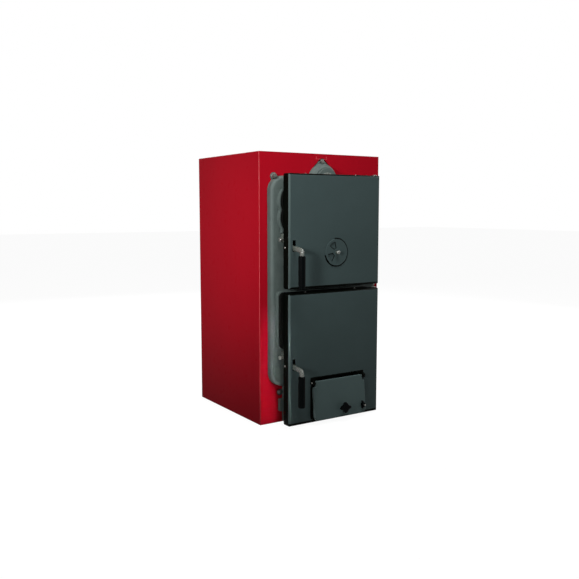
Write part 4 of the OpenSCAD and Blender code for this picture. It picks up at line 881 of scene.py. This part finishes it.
BOARD_PASSES = 3                # rounds in which an insulation board's long edges are halved
BOARD_EDGE = 0.03               # an edge over this is long
BOARD_SWELL = 0.0006
BOARD_SWELLS = 28               # to the metre
ROPE_ROUND = 2.6                # millimetres


def mineral_board(node):
    """Insulation board with a gently uneven surface."""
    shape = solid_of(node)
    bmesh.ops.triangulate(shape, faces=shape.faces)
    for _ in range(BOARD_PASSES):
        long_edges = [e for e in shape.edges if e.calc_length() > BOARD_EDGE]
        bmesh.ops.subdivide_edges(shape, edges=long_edges, cuts=1)
        bmesh.ops.triangulate(shape, faces=shape.faces)
    shape.normal_update()
    for vert in shape.verts:
        vert.co -= vert.normal * BOARD_SWELL * (1 + noise.noise(vert.co * BOARD_SWELLS))
    piece(node + "_board", shape, node)


def seal_rope(node):
    piece(node + "_braid", solid_of(node), node, edge=ROPE_ROUND, segments=4)


# Pieces that keep their CAD form and get broken edges: width of the bevel in millimetres
BROKEN_EDGES = {
    "floor_tray": 0.6,
    "middle_section_1": 1.5,
    "middle_section_2": 1.5,
    "middle_section_3": 1.5,
    "rear_section": 1.5,
    "tie_rods": 0.8,
    "tie_rod_nuts": 0.8,
    "hub_cap": 1.2,
    "fire_grate": 1.5,
    "ash_pan": 0.4,
    "left_side_panel": 0.6,
    "right_side_panel": 0.6,
    "top_panel": 0.6,
    "rear_panel": 0.6,
    "panel_screws": 0.4,
    "flue_hood": 1.5,
    "flow_flange": 1,
    "return_flange": 1,
    "flange_bolts": 0.6,
    "upper_catch_bracket": 0.7,
    "lower_catch_bracket": 0.7,
    "upper_catch_pin": 1,
    "lower_catch_pin": 1,
    "upper_door_casting": 1.5,
    "lower_door_casting": 1.5,
    "upper_door_shield": 1,
    "lower_door_shield": 1,
    "upper_cover_screws": 0.4,
    "lower_cover_screws": 0.4,
    "upper_hinge_rod": 0.8,
    "lower_hinge_rod": 0.8,
    "upper_lever_pin": 0.6,
    "lower_lever_pin": 0.6,
    "flap_pins": 0.6,
    "flap_knob": 2.5,
    "flap_set_screw": 0.6,
    "flap_wing_nut": 1,
    "damper_disc": 0.6,
    "damper_shaft": 0.8,
    "damper_lever": 1,
    "upper_nipples": 0.8,
    "lower_nipples": 0.8,
}

# Those whose finish differs from the rest of their slot
OWN_FINISH = {
    "tie_rods": ZINC_IN_PAINTED_SHADE,
    "tie_rod_nuts": ZINC_IN_PAINTED_SHADE,
    "upper_hinge_rod": ZINC_IN_PAINTED_SHADE,
    "lower_hinge_rod": ZINC_IN_PAINTED_SHADE,
    "flap_set_screw": ZINC_IN_PAINTED_SHADE,
    "hub_cap": LEVER_IRON,
    "fire_grate": RAW_IRON,
    "upper_door_shield": RAW_IRON,
    "lower_door_shield": RAW_IRON,
    "damper_disc": RAW_IRON,
    "damper_lever": RAW_IRON,
    "upper_catch_bracket": LEVER_IRON,
    "lower_catch_bracket": LEVER_IRON,
}


def boiler():
    front_section()
    hub_lug()
    door_cover("upper_door_cover")
    door_cover("lower_door_cover", COVER_FOOT_SHADE)
    handle("upper")
    handle("lower")
    rosette()
    flap_painted_shade()
    flap()
    flap_shade_block()
    front_sheet()
    sheet_tab()
    for node in ("upper_door_rope", "lower_door_rope"):
        seal_rope(node)
    for node in ("upper_door_insulation", "lower_door_insulation", "insulation_wrap"):
        mineral_board(node)
    for node, edge in BROKEN_EDGES.items():
        piece(node + "_form", solid_of(node), node, edge=edge, finish=OWN_FINISH.get(node))


# Studio

CAMERA_PLACE = (-1.4903, -2.3189, 0.7457)
CAMERA_YAW = math.radians(-32.92)
CAMERA_PITCH = math.radians(-6.38)
CAMERA_LENS = 44.74
CAMERA_SEES = (0.05, 60)        # nearest and farthest
SIDE_BEAM = math.radians(29)
FOOT_BEAM = math.radians(5)
AMBIENT = 0.1                   # how bright the white world is as a light
FLOOR_HALF = 20
FLOOR_PAINT = (0.10, 0.10, 0.10)
FLOOR_GLOW = 0.95


def camera():
    data = bpy.data.cameras.new("camera")
    data.lens = CAMERA_LENS
    data.clip_start, data.clip_end = CAMERA_SEES
    eye = bpy.data.objects.new("camera", data)
    eye.location = CAMERA_PLACE
    eye.rotation_euler = (math.pi / 2 + CAMERA_PITCH, 0, CAMERA_YAW)
    bpy.context.scene.collection.objects.link(eye)
    bpy.context.scene.camera = eye


def hang(data, where, aim):
    """Puts a light in the studio and turns it to what it lights."""
    light = bpy.data.objects.new(data.name, data)
    light.location = where
    light.rotation_euler = (Vector(aim) - Vector(where)).to_track_quat("-Z", "Y").to_euler()
    bpy.context.scene.collection.objects.link(light)


def lamp(name, where, aim, width, height, watts, beam=math.pi):
    data = bpy.data.lights.new(name, "AREA")
    data.shape = "RECTANGLE"
    data.size = width
    data.size_y = height
    data.energy = watts
    data.spread = beam
    hang(data, where, aim)


def soft_spot(name, where, aim, radius, watts, beam):
    """Spot whose light fades from its middle to the edge of its beam."""
    data = bpy.data.lights.new(name, "SPOT")
    data.energy = watts
    data.shadow_soft_size = radius
    data.spot_size = beam
    data.spot_blend = 1
    hang(data, where, aim)


def seen_rays(tree):
    """1 for rays of the camera, of reflections and of transmission, else 0."""
    path = tree.nodes.new("ShaderNodeLightPath")
    camera_or_gloss = tree.nodes.new("ShaderNodeMath")
    camera_or_gloss.operation = "MAXIMUM"
    seen = tree.nodes.new("ShaderNodeMath")
    seen.operation = "MAXIMUM"
    tree.links.new(path.outputs["Is Camera Ray"], camera_or_gloss.inputs[0])
    tree.links.new(path.outputs["Is Glossy Ray"], camera_or_gloss.inputs[1])
    tree.links.new(camera_or_gloss.outputs[0], seen.inputs[0])
    tree.links.new(path.outputs["Is Transmission Ray"], seen.inputs[1])
    return seen.outputs[0]


def backdrop():
    """White to the eye and in reflections, dim as a light."""
    world = bpy.data.worlds.new("studio")
    world.use_nodes = True
    bpy.context.scene.world = world
    tree = world.node_tree
    ambient = tree.nodes["Background"]
    ambient.inputs["Color"].default_value = (1, 1, 1, 1)
    ambient.inputs["Strength"].default_value = AMBIENT
    white = tree.nodes.new("ShaderNodeBackground")
    white.inputs["Color"].default_value = (1, 1, 1, 1)
    white.inputs["Strength"].default_value = 1
    mix = tree.nodes.new("ShaderNodeMixShader")
    tree.links.new(seen_rays(tree), mix.inputs["Fac"])
    tree.links.new(ambient.outputs[0], mix.inputs[1])
    tree.links.new(white.outputs[0], mix.inputs[2])
    tree.links.new(mix.outputs[0], tree.nodes["World Output"].inputs["Surface"])


def floor():
    """Floor that looks near white, keeps the shadow and throws little red or grey back."""
    mesh = bpy.data.meshes.new("floor")
    shape = bmesh.new()
    bmesh.ops.create_grid(shape, x_segments=1, y_segments=1, size=FLOOR_HALF)
    shape.to_mesh(mesh)
    shape.free()
    ground = bpy.data.objects.new("floor", mesh)
    bpy.context.scene.collection.objects.link(ground)
    material = bpy.data.materials.new("pale_floor")
    material.use_nodes = True
    tree = material.node_tree
    paint = tree.nodes["Principled BSDF"]
    paint.inputs["Base Color"].default_value = (*FLOOR_PAINT, 1)
    paint.inputs["Roughness"].default_value = 1
    paint.inputs["Specular IOR Level"].default_value = 0
    glow = tree.nodes.new("ShaderNodeEmission")
    glow.inputs["Strength"].default_value = FLOOR_GLOW
    both = tree.nodes.new("ShaderNodeAddShader")
    mix = tree.nodes.new("ShaderNodeMixShader")
    tree.links.new(seen_rays(tree), mix.inputs["Fac"])
    tree.links.new(paint.outputs[0], both.inputs[0])
    tree.links.new(glow.outputs[0], both.inputs[1])
    tree.links.new(paint.outputs[0], mix.inputs[1])
    tree.links.new(both.outputs[0], mix.inputs[2])
    tree.links.new(mix.outputs[0], tree.nodes["Material Output"].inputs["Surface"])
    mesh.materials.append(material)


def studio():
    """Camera, backdrop, floor and lights, each light with its place and what it is turned to."""
    camera()
    backdrop()
    floor()
    soft_spot(
        "side", (-2.6, -1.5, 1.1), (-0.25, -0.02, 0.69), radius=0.3, watts=322, beam=SIDE_BEAM)
    lamp("top_front", (-0.28, -0.95, 2.05), (0, -0.15, 0.8), width=0.8, height=0.5, watts=20.5)
    lamp(
        "foot", (-0.33, -1.45, 0.20), (-0.222, -0.24, 0.18), width=0.05, height=0.40, watts=0.072,
        beam=FOOT_BEAM)
    lamp("right", (2.8, 0.3, 1.6), (0, 0.1, 0.5), width=1.6, height=1.6, watts=70)
    lamp("back", (0.4, 3.0, 1.9), (0, 0, 0.5), width=2.0, height=1.6, watts=90)
    bpy.context.scene.view_settings.view_transform = "Standard"


dress_frame()
boiler()
studio()
